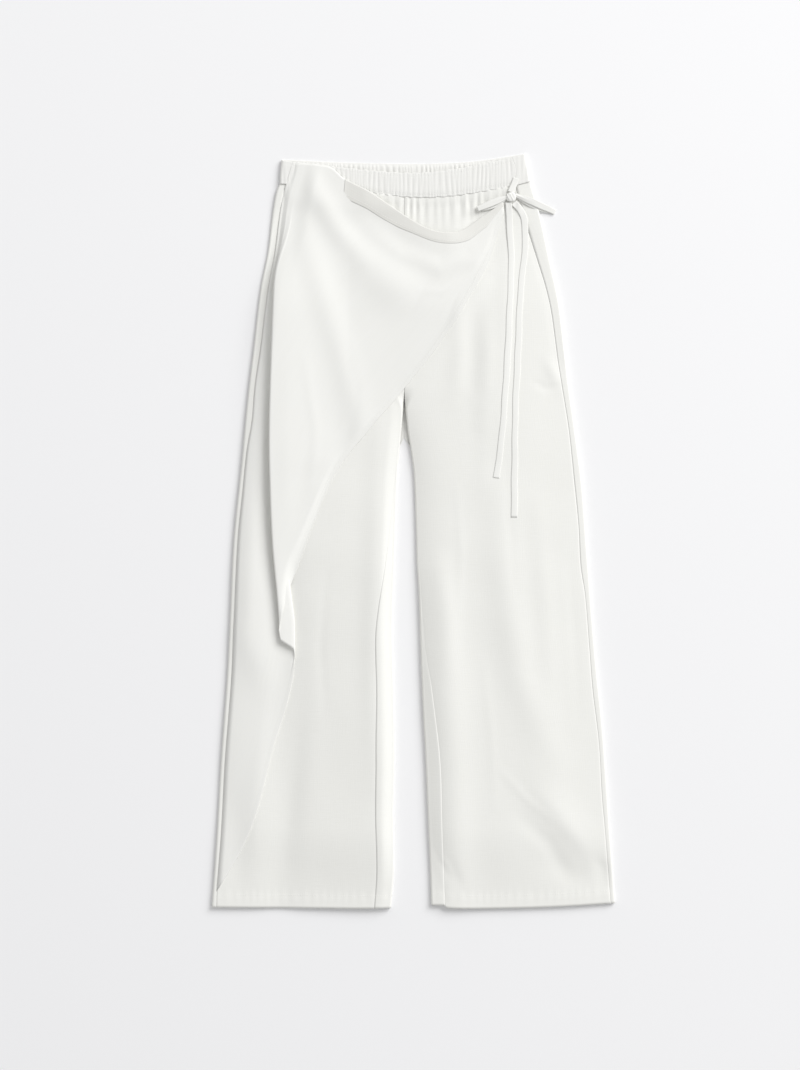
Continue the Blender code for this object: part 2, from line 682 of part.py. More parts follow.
def bow_knot(material):
    """The knot: a small rounded cushion of cloth."""
    bpy.ops.mesh.primitive_cube_add(size=2.0)
    item = bpy.context.object
    item.name = item.data.name = "bow_knot"
    item.data.transform(item.matrix_world)
    for point in item.data.vertices:
        for axis in range(3):
            point.co[axis] = (KNOT[axis] + point.co[axis] * KNOT_HALF[axis] * KNOT_CAGE) * MM
    item.location = (0.0, 0.0, 0.0)
    item.data.materials.append(material)
    item.data.shade_smooth()
    round_off = item.modifiers.new("round", "SUBSURF")
    round_off.levels = 2
    round_off.render_levels = 2
    for home in list(item.users_collection):
        home.objects.unlink(item)
    PIECES.objects.link(item)
    return item


clear_scene()
PIECES = bpy.data.collections.new("wrap_pants")
bpy.context.scene.collection.children.link(PIECES)
GATHER_DEPTHS = {side: [random.Random(90 + side + 7 * index).uniform(0.45, 1.0)
                        for index in range(FRONT_COLUMNS + 1)] for side in (-1, 1)}

LINEN = (0.90, 0.885, 0.84)
leg_back(-1, "leg_back_left", cloth_material("linen_back_left", LINEN, 0.9))
leg_back(1, "leg_back_right", cloth_material("linen_back_right", LINEN, 0.9))
leg_front(-1, "leg_front_left", cloth_material("linen_front_left", LINEN, 0.9))
leg_front(1, "leg_front_right", cloth_material("linen_front_right", LINEN, 0.9))
waistband_back(cloth_material("linen_band_back", LINEN, 0.9))
waistband_front(cloth_material("linen_band_front", LINEN, 0.9))
wrap_panel(cloth_material("linen_wrap", LINEN, 0.9))
wrap_facing(cloth_material("linen_facing", LINEN, 0.9))
TIE_LINEN = cloth_material("linen_tie", LINEN, 0.9)
strip("tie_long", TIE_LONG, 18, TIE_WIDTH, TIE_CLOTH, TIE_LINEN)
strip("tie_short", TIE_SHORT, 18, TIE_WIDTH, TIE_CLOTH, TIE_LINEN)
strip("tie_strand", TIE_STRAND, 5, TIE_WIDTH, TIE_CLOTH, TIE_LINEN, base=BAND_TOP + STRAND_GAP)
bow_loop("bow_loop_left", *LOOP_LEFT, TIE_LINEN)
bow_loop("bow_loop_right", *LOOP_RIGHT, TIE_LINEN)
bow_knot(TIE_LINEN)
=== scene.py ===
"""Wrap pants lying flat: the looks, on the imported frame.

Tables are in millimetres, as in the part's source, and turned into metres when a mesh is made.
"""

import bpy
import numpy as np
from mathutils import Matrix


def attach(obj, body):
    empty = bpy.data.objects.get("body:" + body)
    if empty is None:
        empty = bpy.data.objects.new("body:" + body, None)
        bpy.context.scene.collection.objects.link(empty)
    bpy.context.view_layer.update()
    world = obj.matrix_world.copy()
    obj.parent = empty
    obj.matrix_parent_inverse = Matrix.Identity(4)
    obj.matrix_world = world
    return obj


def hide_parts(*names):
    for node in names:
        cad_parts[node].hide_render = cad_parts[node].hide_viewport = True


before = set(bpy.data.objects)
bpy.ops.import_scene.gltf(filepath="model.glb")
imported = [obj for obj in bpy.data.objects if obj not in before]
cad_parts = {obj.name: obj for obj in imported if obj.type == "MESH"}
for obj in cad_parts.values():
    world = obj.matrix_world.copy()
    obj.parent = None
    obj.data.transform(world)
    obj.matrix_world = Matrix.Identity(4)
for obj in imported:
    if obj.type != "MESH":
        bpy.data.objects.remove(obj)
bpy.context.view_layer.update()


# Floor
# The plain pale surface that the trousers lie on: smooth, matt and one piece, and so wide that
# its edge stays out of the picture.


class Socket:
    """A shader socket whose sums and products are Math nodes."""

    def __init__(self, graph, socket):
        self.graph, self.socket = graph, socket

    def math(self, operation, other):
        return self.graph.add("ShaderNodeMath", {"operation": operation}, {0: self, 1: other})

    def __add__(self, other):
        return self.math("ADD", other)

    def __mul__(self, other):
        return self.math("MULTIPLY", other)

    __radd__, __rmul__ = __add__, __mul__


class Graph:
    """A material's node tree."""

    def __init__(self, name):
        self.material = bpy.data.materials.new(name)
        self.material.use_nodes = True
        self.tree = self.material.node_tree
        self.shader = self.tree.nodes["Principled BSDF"]

    def put(self, target, value):
        if isinstance(value, Socket):
            self.tree.links.new(value.socket, target)
        else:
            target.default_value = value

    def add(self, kind, settings=None, inputs=None, output=0):
        node = self.tree.nodes.new(kind)
        for key, value in (settings or {}).items():
            setattr(node, key, value)
        for key, value in (inputs or {}).items():
            self.put(node.inputs[key], value)
        return Socket(self, node.outputs[output])

    def set(self, **inputs):
        for key, value in inputs.items():
            self.put(self.shader.inputs[key.replace("_", " ")], value)


FLOOR_SIZE = 6.0
FLOOR = Graph("floor")
FLOOR.set(Base_Color=(0.905, 0.905, 0.915, 1.0), Roughness=0.75, Metallic=0.0)
bpy.ops.mesh.primitive_plane_add(size=FLOOR_SIZE, location=(0.0, 0.0, 0.0))
floor = bpy.context.object
floor.name = floor.data.name = "floor"
floor.data.materials.append(FLOOR.material)


# Leg backs
# Two back panels of off-white linen, each rolled round the outer and the inner edge of its leg
# and sewn to the front panel on top. Their middle lies flat on the surface.

MM = 0.001
CLOTH = 0.8
LAP = 0.25
FRONT_TOP = 6.0
LOW_Z = CLOTH / 2
HIGH_Z = FRONT_TOP - CLOTH / 2
EDGE_RADIUS = (HIGH_Z - LOW_Z) / 2
EDGE_INSET = EDGE_RADIUS + CLOTH / 2

HEM_Y = -519.0
HEM_DEPTH = 20.0
HEM_LIFT = 0.5
HEM_STITCH = 2.2
FORK_Y = 192.0
WAIST_Y = 466.0
CENTRE_X = -12.9

# Outlines and seams of the legs, rows of (y, x)
LEFT_OUTER = ((-521, -278.6), (-418, -271.4), (-319, -265.8), (-203, -257.3), (-127, -253.4),
              (-12, -248), (98, -236.8), (184, -228.7), (249, -221), (336, -210.6), (385, -201),
              (442, -194), (469, -189), (479, -184.6))
LEFT_SEAM = ((-521, -272.2), (-497, -271.4), (-418, -265.5), (-319, -260), (-203, -251),
             (-127, -247.5), (-12, -242), (54, -235.5), (109, -229.9), (153, -222.6),
             (198, -218.9), (249, -211), (336, -200), (385, -191), (442, -184), (469, -178.6),
             (479, -175.6))
LEFT_INNER = ((-521, -31), (-468, -27), (-387, -27.5), (-316, -26), (-225, -27), (-128, -29),
              (-26, -25.5), (77, -22), (128, -17.6), (160, -14.8), (192, -13.3), (480, -13.1))
RIGHT_OUTER = ((-521, 279), (-421, 271.6), (-344, 266.5), (-269, 261), (-191, 253), (-123, 247.1),
               (-22, 239.3), (65, 232.7), (142, 222.9), (206, 213.9), (264, 207.2), (318, 200.4),
               (373, 188.5), (436, 174.7), (478, 162.3))
RIGHT_SEAM = ((-521, 273), (-398, 263), (-365, 260), (-293, 256), (-217, 247), (-164, 243),
              (-90, 237), (-48, 230.6), (8, 227.7), (75, 221), (142, 214), (207, 203.5),
              (235, 199), (302, 190), (337, 182), (376, 170), (418, 156.7), (453, 146),
              (478, 139.8))
RIGHT_INNER = ((-521, 24.6), (-468, 23), (-387, 19.7), (-309, 16.6), (-254, 13.5), (-177, 10.4),
               (-90, 7.6), (-40, 4.8), (7, 3.5), (77, 0.7), (106, -2.8), (138, -8), (165, -10.8),
               (192, -12.6), (480, -12.7))

# Inseam's place, rows of (y, distance past the top of the inner edge), below zero on the front
LEFT_INSEAM = ((-521, -20), (-302, -23), (-225, -21), (-148, -20.5), (-109, -17), (-51, -10),
               (20, -4), (77, 0), (95, 1.5), (110, 3.3), (128, 5))
RIGHT_INSEAM = ((-521, -15.5), (-420, -15.8), (-316, -16.8), (-220, -10.5), (-164, -3.4), (-95, 0),
                (0, 1.6), (60, 2.6), (95, 3), (110, 3.5), (128, 5))

# Hem line of the legs and the foot of the waistband, rows of (x, y)
HEM_LINE = ((-278, -519), (-150, -520), (-33, -520), (25, -516), (60, -520), (120, -520.5),
            (204, -518), (279, -513))
BAND_FRONT_FOOT = ((-185, 478.5), (-140, 476), (-90, 471), (-45, 464), (0, 460), (45, 461),
                   (90, 467), (140, 476), (162, 482))
BAND_BACK_FOOT = ((-185, 478.5), (162, 482))

# Soft ridges and troughs of the leg fronts, rows of (height, width, the line they follow)
FRONT_FOLDS = (
    (1.3, 14, ((36, -40), (48, -120), (50, -190))),
    (-1.4, 12, ((148, -395), (186, -430), (214, -480))),
    (1.2, 13, ((172, -360), (212, -408), (246, -452))),
    (-1.5, 10, ((254, -452), (262, -480), (268, -500))),
    (-1.1, 14, ((88, 330), (84, 240), (82, 140))),
    (1.0, 13, ((112, 330), (104, 200), (96, 60))),
    (1.2, 9, ((184, 236), (192, 218), (200, 196))),
    (-1.2, 8, ((50, -455), (58, -478), (66, -500))),
    (2.3, 16, ((-48, 150), (-52, -40), (-56, -210), (-50, -350))),
    (-1.0, 15, ((-150, -190), (-160, -320), (-176, -450))),
    (1.0, 14, ((170, 40), (182, -110), (190, -250))),
)
# Broad swells and fine creases of the fronts that the solids leave out
FRONT_CREASES = (
    (2.8, 24, ((114, 60), (124, -60), (146, -200), (196, -320))),
    (1.6, 16, ((92, 330), (98, 240), (90, 150))),
    (1.5, 13, ((130, 410), (126, 260), (118, 110))),
    (-2.2, 8, ((66, 426), (82, 434), (98, 448))),
    (1.3, 13, ((60, 340), (64, 250), (58, 180))),
    (4.2, 25, ((32, -60), (44, -200), (54, -330), (60, -680))),
    (-6.5, 26, ((-176, 430), (-185, 250), (-190, 60), (-184, -60), (-178, -170), (-186, -620))),
    (-1.6, 17, ((-252, -360), (-246, -420), (-240, -500))),
    (1.9, 24, ((166, -335), (220, -406), (268, -446))),
    (-1.6, 20, ((176, -450), (214, -474), (262, -490))),
    (2.0, 15, ((104, 356), (60, 288), (16, 226))),
    (-0.6, 5, ((166, 205), (182, 196), (204, 200))),
    (-0.5, 5, ((30, -440), (42, -462), (52, -486))),
    (0.45, 4, ((36, -446), (52, -470))),
    (-0.5, 6, ((250, -455), (262, -462), (270, -476))),
    (0.5, 6, ((120, -330), (158, -372), (196, -402))),
    (-0.5, 7, ((-120, -60), (-128, -160), (-122, -250))),
    (0.5, 8, ((-205, -240), (-214, -330), (-220, -440))),
    (0.4, 6, ((60, 60), (66, -30), (62, -110))),
    (-0.4, 7, ((126, 120), (132, 10), (140, -90))),
    (-0.4, 8, ((214, -40), (222, -150), (228, -260))),
    (0.4, 7, ((96, -180), (108, -280), (112, -380))),
)


def along(rows, at):
    """Smooth values of a table's later columns where its first column is at."""
    table = np.array(rows, float)
    keys, values = table[:, 0], table[:, 1:]
    at = np.clip(at, keys[0], keys[-1])
    place = np.clip(np.searchsorted(keys, at, side="right") - 1, 0, len(keys) - 2)
    after = np.minimum(np.arange(len(keys)) + 1, len(keys) - 1)
    before = np.maximum(np.arange(len(keys)) - 1, 0)
    slopes = (values[after] - values[before]) / (keys[after] - keys[before])[:, None]
    span = keys[place + 1] - keys[place]
    part = (at - keys[place]) / span
    found = [
        (2 * part**3 - 3 * part**2 + 1) * values[place, column]
        + (part**3 - 2 * part**2 + part) * slopes[place, column] * span
        + (3 * part**2 - 2 * part**3) * values[place + 1, column]
        + (part**3 - part**2) * slopes[place + 1, column] * span
        for column in range(values.shape[1])
    ]
    return found[0] if len(found) == 1 else found


def ease(value, low, high):
    """0 below low, 1 above high, and a smooth step between them."""
    part = np.clip((value - low) / (high - low), 0.0, 1.0)
    return part * part * (3 - 2 * part)


def mix(start, end, part):
    return start + (end - start) * part


def fold_height(folds, x, y):
    """Height at (x, y) of a table of soft ridges and troughs, each fading at its ends."""
    total = np.zeros(np.broadcast(x, y).shape)
    for height, width, line in folds:
        nearest = np.full(total.shape, 1e9)
        where = np.zeros(total.shape)
        for index in range(len(line) - 1):
            (ax, ay), (bx, by) = line[index], line[index + 1]
            run_x, run_y = bx - ax, by - ay
            part = ((x - ax) * run_x + (y - ay) * run_y) / (run_x**2 + run_y**2)
            part = np.clip(part, 0.0, 1.0)
            away = np.hypot(x - ax - part * run_x, y - ay - part * run_y)
            closer = away < nearest
            nearest = np.where(closer, away, nearest)
            where = np.where(closer, (index + part) / (len(line) - 1), where)
        ends = 0.35 + 0.65 * np.sin(np.pi * where)
        total += height * ends * np.exp(-((nearest / width) ** 2))
    return total


def rumple(x, y, seed):
    """Uneven surface of laid linen, from -1 to 1: soft waves that cross at odd angles."""
    pick = np.random.default_rng(seed)
    total = np.zeros(np.broadcast(x, y).shape)
    for reach in (150, 110, 80, 58):
        turn, phase = pick.uniform(0, np.pi), pick.uniform(0, 2 * np.pi)
        bend = 0.35 * reach * np.sin(y / (1.7 * reach) + phase)
        total += (reach / 150) ** 0.6 * np.sin(
            (x * np.cos(turn) + 0.5 * y * np.sin(turn) + bend) * 2 * np.pi / reach + phase)
    return total / 2.7


# Fullness of the legs, its rise at the left leg's outer edge above and below the fold's tip, and
# the broad swell beside the left leg's inner edge
CROWN = 6.0
CROWN_TOP = (300, 440)
LEFT_RISE, LEFT_RISE_LOW = 30, 95
INNER_ROUND = 58
SWELL = 4.5
SWELL_X, SWELL_WIDTH = -46, 72


def leg_crown(x, y):
    """Fullness of the legs: the cloth rises softly from its edges, the hems and the waist."""
    left = x < CENTRE_X
    inner = np.where(left, along(LEFT_INNER, y) - x, x - along(RIGHT_INNER, y))
    rounded = 1 - (1 - np.clip((inner - 1) / INNER_ROUND, 0, 1)) ** 3
    apart = mix(np.where(left, ease(inner, -4, 18), rounded), 1.0, ease(y, 110, 215))
    left_rise = mix(LEFT_RISE_LOW, LEFT_RISE, ease(y, -260, -140))
    outer = ease(x - along(LEFT_OUTER, y), -6, left_rise)
    outer = outer * ease(along(RIGHT_OUTER, y) - x, -50, 110)
    ends = ease(y - along(HEM_LINE, x), 2, 110) * (1 - ease(y, *CROWN_TOP))
    swell = np.exp(-(((x - SWELL_X) / SWELL_WIDTH) ** 2)) * left * (1 - ease(y, -60, 110))
    swell = swell * mix(0.5, 1, ends)
    return (CROWN * outer * ends + SWELL * swell) * apart


def front_lift(x, y):
    """Fullness, folds, creases and the turned-up hem: the height added to the leg fronts."""
    above_hem = y - along(HEM_LINE, x)
    hem = HEM_LIFT * (1 - ease(above_hem, HEM_DEPTH - 1.2, HEM_DEPTH + 1.2))
    groove = -0.35 * np.exp(-(((above_hem - HEM_DEPTH + HEM_STITCH) / 1.6) ** 2))
    pucker = 0.16 * np.sin(x / 1.9 + 2.2 * np.sin(x / 17)) * np.exp(
        -(((above_hem - HEM_DEPTH + 4) / 9) ** 2))
    calm = ease(y, HEM_Y, HEM_Y + 60)
    soft = fold_height(FRONT_FOLDS, x, y) * calm
    fine = fold_height(FRONT_CREASES, x, y) * mix(0.75, 1.0, calm)
    uneven = 0.5 * (rumple(x, y, 5) - 0.8)
    return leg_crown(x, y) + soft + fine + hem + groove + pucker + uneven * mix(0.5, 1.0, calm)


def leg_lines(side):
    """Outer edge, side seam, inner edge and inseam of the left (-1) or right (1) leg."""
    if side < 0:
        return LEFT_OUTER, LEFT_SEAM, LEFT_INNER, LEFT_INSEAM
    return RIGHT_OUTER, RIGHT_SEAM, RIGHT_INNER, RIGHT_INSEAM


def leg_y(rough_y, x, head):
    """Height along the leg of a row's point at x: rows follow the hem and the waist seam."""
    upper = mix(FORK_Y, head, (rough_y - FORK_Y) / (WAIST_Y - FORK_Y))
    lower = mix(along(HEM_LINE, x), FORK_Y, (rough_y - HEM_Y) / (FORK_Y - HEM_Y))
    return np.where(rough_y >= FORK_Y, upper, lower)


def settle(find_x, find_y, y):
    """Points whose x depends on their y and whose y depends on their x, by taking turns."""
    x = find_x(y)
    for _ in range(2):
        y = find_y(x)
        x = find_x(y)
    return x, find_y(x)


def seam_groove(away, y):
    """Dip of the cloth at so many millimetres from a seam, deepest on the hip."""
    hip = ease(y, 190, 240) * (1 - ease(y, 405, 455))
    return mix(0.16, 0.7, hip) * np.exp(-((away / mix(1.2, 6.5, hip)) ** 2))


def inner_turn(side, y, past):
    """Point past the top of the leg's inner edge, measured round that edge towards the back."""
    _, _, inner_line, inseam_line = leg_lines(side)
    middle = along(inner_line, y) + side * EDGE_INSET
    angle = np.clip(past / EDGE_RADIUS, 0.0, np.pi)
    half = (1 + np.cos(angle)) / 2
    on_front = middle - side * np.minimum(past, 0.0)
    beyond = side * np.maximum(past - np.pi * EDGE_RADIUS, 0.0)
    x = on_front - side * EDGE_RADIUS * np.sin(angle) + beyond
    lift = front_lift(on_front, y) - seam_groove(past - along(inseam_line, y), y)
    return x, LOW_Z + 2 * EDGE_RADIUS * half + half * lift


def stations(ends, counts):
    """Places along spans that meet at ends, with so many places from end to end of each span."""
    spans = [np.linspace(*span)[:-1] for span in zip(ends, ends[1:], counts)]
    return np.append(np.concatenate(spans), ends[-1])


def on_root(name, mesh):
    """The mesh as a piece that rides on the root body."""
    item = bpy.data.objects.new(name, mesh)
    bpy.context.scene.collection.objects.link(item)
    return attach(item, "root")


def cloth(name, x, y, z, wall, material):
    """A thin wall of cloth through a grid of points, closed at its rim, its UV map in metres."""
    points = np.stack(np.broadcast_arrays(x, y, z), axis=-1) * MM
    rows, columns = points.shape[:2]
    normal = np.cross(np.gradient(points, axis=1), np.gradient(points, axis=0))
    normal /= np.maximum(np.linalg.norm(normal, axis=-1, keepdims=True), 1e-12)
    half = normal * wall * MM / 2
    corners = np.concatenate([(points + half).reshape(-1, 3), (points - half).reshape(-1, 3)])
    count = rows * columns
    number = np.arange(count).reshape(rows, columns)
    top = np.stack([number[:-1, :-1], number[:-1, 1:], number[1:, 1:], number[1:, :-1]], axis=-1)
    top = top.reshape(-1, 4)
    rim = np.concatenate([number[0], number[1:, -1], number[-1, -2::-1], number[-2:0:-1, 0]])
    ahead = np.roll(rim, -1)
    edge = np.stack([rim, rim + count, ahead + count, ahead], axis=-1)
    faces = np.concatenate([top, top[:, ::-1] + count, edge])
    mesh = bpy.data.meshes.new(name)
    mesh.from_pydata(corners.tolist(), [], faces.tolist())
    smooth = np.ones(len(faces), bool)
    smooth[2 * len(top):] = False
    mesh.polygons.foreach_set("use_smooth", smooth)
    step_u = np.linalg.norm(np.diff(points, axis=1, prepend=points[:, :1]), axis=-1)
    step_v = np.linalg.norm(np.diff(points, axis=0, prepend=points[:1]), axis=-1)
    spread = np.stack([np.cumsum(step_u, axis=1), np.cumsum(step_v, axis=0)], axis=-1)
    spread = np.tile(spread.reshape(-1, 2), (2, 1))
    mesh.uv_layers.new(name="cloth").data.foreach_set("uv", spread[faces.ravel()].ravel())
    mesh.materials.append(material)
    mesh.update()
    return on_root(name, mesh)


THREAD_PITCH = 0.9


def linen(name, light, shade):
    """Plain-weave linen: threads both ways, thicker slubs here and there, no shine."""
    graph = Graph(name)
    place = graph.add("ShaderNodeUVMap", {"uv_map": "cloth"})

    def streaks(along_u, along_v, detail):
        spread = graph.add("ShaderNodeVectorMath", {"operation": "MULTIPLY"},
                           {0: place, 1: (along_u, along_v, 1.0)})
        return graph.add("ShaderNodeTexNoise", {"noise_dimensions": "2D"},
                         {"Vector": spread, "Scale": 1.0, "Detail": detail, "Roughness": 0.6})

    def threads(direction):
        return graph.add("ShaderNodeTexWave", {"bands_direction": direction},
                         {"Vector": place, "Scale": 0.1 / (THREAD_PITCH * MM),
                          "Distortion": 1.2, "Detail": 1.0, "Detail Scale": 1.0}, output=1)

    weft, warp = streaks(46.0, 900.0, 2.0), streaks(800.0, 38.0, 2.0)
    cloudy = streaks(22.0, 14.0, 3.0)
    body = weft * 0.45 + warp * 0.35 + cloudy * 0.2
    colour = graph.add("ShaderNodeMix", {"data_type": "RGBA"},
                       {"Factor": body, "A": (*shade, 1.0), "B": (*light, 1.0)}, output=2)
    height = weft * 0.55 + warp * 0.45 + (threads("X") + threads("Y")) * 0.05
    bump = graph.add("ShaderNodeBump",
                     inputs={"Strength": 0.35, "Distance": 0.0004, "Height": height})
    graph.set(Base_Color=colour, Roughness=0.92, Metallic=0.0, Normal=bump, Sheen_Weight=0.08,
              Sheen_Roughness=0.6)
    return graph.material


def waist_pinch(x, y):
    """Fall of the cloth where it runs under the foot of the waistband."""
    return 0.1 * (1 - ease(along(BAND_FRONT_FOOT, x) - y, 0, 5))


LEG_LINEN = linen("leg_linen", (0.885, 0.885, 0.855), (0.825, 0.822, 0.785))
BAND_LAP = 2.0
BACK_TURN = (0.0, 0.2, 0.4, 0.6, 0.78, 0.93, 1.0)
CROTCH_WIDTH = 8.0
SIDE_STEPS, TURN_STEPS, FLAT_STEPS = 2, 4, 3
LEG_ROWS = 290


def leg_back(side, name):
    """Back panel, from the side seam round the outer edge, across the floor, to the inseam."""
    outer_line, seam_line, inner_line, inseam_line = leg_lines(side)
    turn_end = SIDE_STEPS + TURN_STEPS
    flat_end = turn_end + FLAT_STEPS
    steps = stations((0, SIDE_STEPS, turn_end, flat_end, flat_end + turn_end), (5, 15, 20, 26))
    if side > 0:
        steps = steps[::-1]
    step, rough_y = np.meshgrid(steps, np.linspace(HEM_Y, WAIST_Y, LEG_ROWS))
    floor_share = ease(step, SIDE_STEPS, turn_end)
    inward = step - turn_end
    turned = np.maximum(inward - FLAT_STEPS, 0)
    turn_share = np.interp(turned, np.arange(len(BACK_TURN)), BACK_TURN)
    seat = ease(rough_y, 108, 130)

    def across(at):
        outer_at = along(outer_line, at) - side * EDGE_INSET
        seam = along(seam_line, at) - side * LAP
        inner_at = along(inner_line, at) + side * EDGE_INSET
        centre = CENTRE_X + side * (LAP + CROTCH_WIDTH * (1 - turn_share))
        share = np.clip(inward / FLAT_STEPS, 0.0, 1.0)
        flat = mix(outer_at, mix(inner_at, centre, seat), share)
        return np.where(step <= SIDE_STEPS, mix(seam, outer_at, step / SIDE_STEPS), flat)

    def up(at):
        front, back = along(BAND_FRONT_FOOT, at), along(BAND_BACK_FOOT, at)
        return leg_y(rough_y, at, mix(front + BAND_LAP, back, floor_share))

    x, y = settle(across, up, rough_y)
    outer = along(outer_line, y) - side * EDGE_INSET
    z = np.full(x.shape, LOW_Z)
    on_top = HIGH_Z + front_lift(x, y) - seam_groove(x - along(seam_line, y), y)
    z = np.where(step <= SIDE_STEPS, on_top - waist_pinch(x, y), z)
    angle = np.pi * np.clip(step - SIDE_STEPS, 0, TURN_STEPS) / TURN_STEPS
    half = (1 + np.cos(angle)) / 2
    turning = (step > SIDE_STEPS) & (inward <= 0)
    x = np.where(turning, outer + side * EDGE_RADIUS * np.sin(angle), x)
    z = np.where(turning, LOW_Z + 2 * EDGE_RADIUS * half + half * front_lift(outer, y), z)
    end = along(inseam_line, y) - LAP
    whole = np.pi * EDGE_RADIUS
    even = mix(whole, end, turn_share)
    split = np.where(turned <= TURN_STEPS, mix(whole, 0.0, turned / TURN_STEPS),
                     mix(0.0, end, (turned - TURN_STEPS) / SIDE_STEPS))
    turn_x, turn_z = inner_turn(side, y, mix(even, split, ease(-end, 3, 12)))
    inner = turned > 0
    x = np.where(inner, mix(turn_x, x, seat), x)
    z = np.where(inner, mix(turn_z, LOW_Z, seat), z)
    piece = cloth(name, x, y, z, CLOTH, LEG_LINEN)
    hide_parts(name.replace("back_of", "leg_back"))


leg_back(-1, "back_of_left")
leg_back(1, "back_of_right")


# Leg fronts
# Two front panels of the same linen, sewn to the backs at the side seam and inseam and gathered
# into the waistband. The legs end in a stitched hem turned up 20 mm.

GATHER_LIFT = 1.3
CROTCH_EASE = 0.5
FRONT_FLAT_SHARE = 0.88
FRONT_SINK = 0.04


def gather_shape(x, y):
    """Height that the cloth gathered into the waistband reaches above the plain front."""
    below = along(BAND_FRONT_FOOT, x) - y
    spread = 1 - ease(below, 4, 48 + 12 * np.sin(x / 23))
    return GATHER_LIFT * spread * mix(0.9, 1.0, ease(below, 0, 7))


def gather_wave(x, y):
    """Uneven pleats under the band, from -1.5 to 1, that spread and merge further down."""
    below = np.maximum(along(BAND_FRONT_FOOT, x) - y, 0.0)
    swerve = 2.4 * np.sin(x / 19) + 1.5 * np.sin(x / 7.3 + 1) + 0.02 * below * np.sin(x / 11)
    main = np.cos((x + swerve) * 2 * np.pi / 11.5)
    small = np.cos((x - swerve) * 2 * np.pi / 6.3 + 0.7) * (1 - ease(below, 2, 22))
    depth = 0.65 + 0.35 * np.sin(x / 13 + 2.0)
    free = np.clip(-0.25 + depth * (0.8 * main + 0.4 * small), -1.5, 0.98)
    return mix(0.55 + 0.35 * free, free, ease(below, 2, 16))


def leg_front(side, name):
    """Front panel, from the side seam across to the centre seam and, lower down, the inseam."""
    _, seam_line, inner_line, inseam_line = leg_lines(side)
    shares = stations((0, FRONT_FLAT_SHARE, 1), (84, 13))
    if side > 0:
        shares = shares[::-1]
    share, rough_y = np.meshgrid(shares, np.linspace(HEM_Y, WAIST_Y, LEG_ROWS))

    def across(at):
        inner = np.where(rough_y >= FORK_Y, CENTRE_X, along(inner_line, at))
        return mix(along(seam_line, at) + side * LAP, inner - side * LAP, share)

    def up(at):
        return leg_y(rough_y, at, along(BAND_FRONT_FOOT, at) + BAND_LAP)

    x, y = settle(across, up, rough_y)
    seam = along(seam_line, y) + side * LAP
    at_crotch = ease(y, 80, 105) * (1 - ease(y, 150, 170))
    end = along(inseam_line, y) + LAP - CROTCH_EASE * at_crotch
    flat_end = np.minimum(end, 0.0) - 2.0
    start = np.abs(along(inner_line, y) + side * EDGE_INSET - seam)
    past = np.where(
        share <= FRONT_FLAT_SHARE, mix(-start, flat_end, share / FRONT_FLAT_SHARE),
        mix(flat_end, end, (share - FRONT_FLAT_SHARE) / (1 - FRONT_FLAT_SHARE)))
    turn_x, turn_z = inner_turn(side, y, past)
    fork = ease(rough_y, 165, 200)
    x, z = mix(turn_x, x, fork), mix(turn_z, HIGH_Z + front_lift(x, y), fork)
    z = z - seam_groove(x - seam, y) * (share < 0.5) - waist_pinch(x, y) - FRONT_SINK
    inside = ease(np.minimum(share, 1 - share), 0.0, 0.03)
    z = z + gather_shape(x, y) * gather_wave(x, y) * inside
    piece = cloth(name, x, y, z, CLOTH, LEG_LINEN)
    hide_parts(name.replace("front_of", "leg_front"))
    return piece


THREAD = Graph("thread")
THREAD.set(Base_Color=(0.86, 0.858, 0.83, 1.0), Roughness=0.8, Metallic=0.0)


def stitch_tree():
    """Geometry Nodes tree: short threads laid one after another along the edges of a mesh."""
    tree = bpy.data.node_groups.new("stitches", "GeometryNodeTree")
    wanted = (("Lines", "NodeSocketGeometry", None), ("Pitch", "NodeSocketFloat", 0.0033),
              ("Size", "NodeSocketVector", (0.0024, 0.0006, 0.0005)),
              ("Seed", "NodeSocketInt", 4), ("Material", "NodeSocketMaterial", None))
    for name, kind, value in wanted:
        socket = tree.interface.new_socket(name, in_out="INPUT", socket_type=kind)
        if value is not None:
            socket.default_value = value
    tree.interface.new_socket("Stitches", in_out="OUTPUT", socket_type="NodeSocketGeometry")

    def node(kind, settings=None, inputs=None):
        made = tree.nodes.new(kind)
        for key, value in (settings or {}).items():
            setattr(made, key, value)
        for key, value in (inputs or {}).items():
            if isinstance(value, bpy.types.NodeSocket):
                tree.links.new(value, made.inputs[key])
            else:
                made.inputs[key].default_value = value
        return made

    given = node("NodeGroupInput").outputs
    curve = node("GeometryNodeMeshToCurve", inputs={"Mesh": given["Lines"]})
    spots = node("GeometryNodeResampleCurve", {"mode": "LENGTH"},
                 {"Curve": curve.outputs[0], "Length": given["Pitch"]})
    thread = node("GeometryNodeMeshIcoSphere", inputs={"Radius": 0.5, "Subdivisions": 2})
    turn = node("FunctionNodeAlignRotationToVector", {"axis": "X"},
                {"Vector": node("GeometryNodeInputTangent").outputs[0]})
    uneven = node("FunctionNodeRandomValue", {"data_type": "FLOAT_VECTOR"},
                  {0: (0.8, 0.85, 0.85), 1: (1.1, 1.1, 1.1), "Seed": given["Seed"]})
    size = node("ShaderNodeVectorMath", {"operation": "MULTIPLY"},
                {0: given["Size"], 1: uneven.outputs[0]})
    laid = node("GeometryNodeInstanceOnPoints", inputs={
        "Points": spots.outputs[0], "Instance": thread.outputs[0], "Rotation": turn.outputs[0],
        "Scale": size.outputs[0]})
    real = node("GeometryNodeRealizeInstances", inputs={0: laid.outputs[0]})
    paint = node("GeometryNodeSetMaterial", inputs={
        "Geometry": real.outputs[0], "Material": given["Material"]})
    node("NodeGroupOutput", inputs={"Stitches": paint.outputs[0]})
    return tree


STITCHES = stitch_tree()


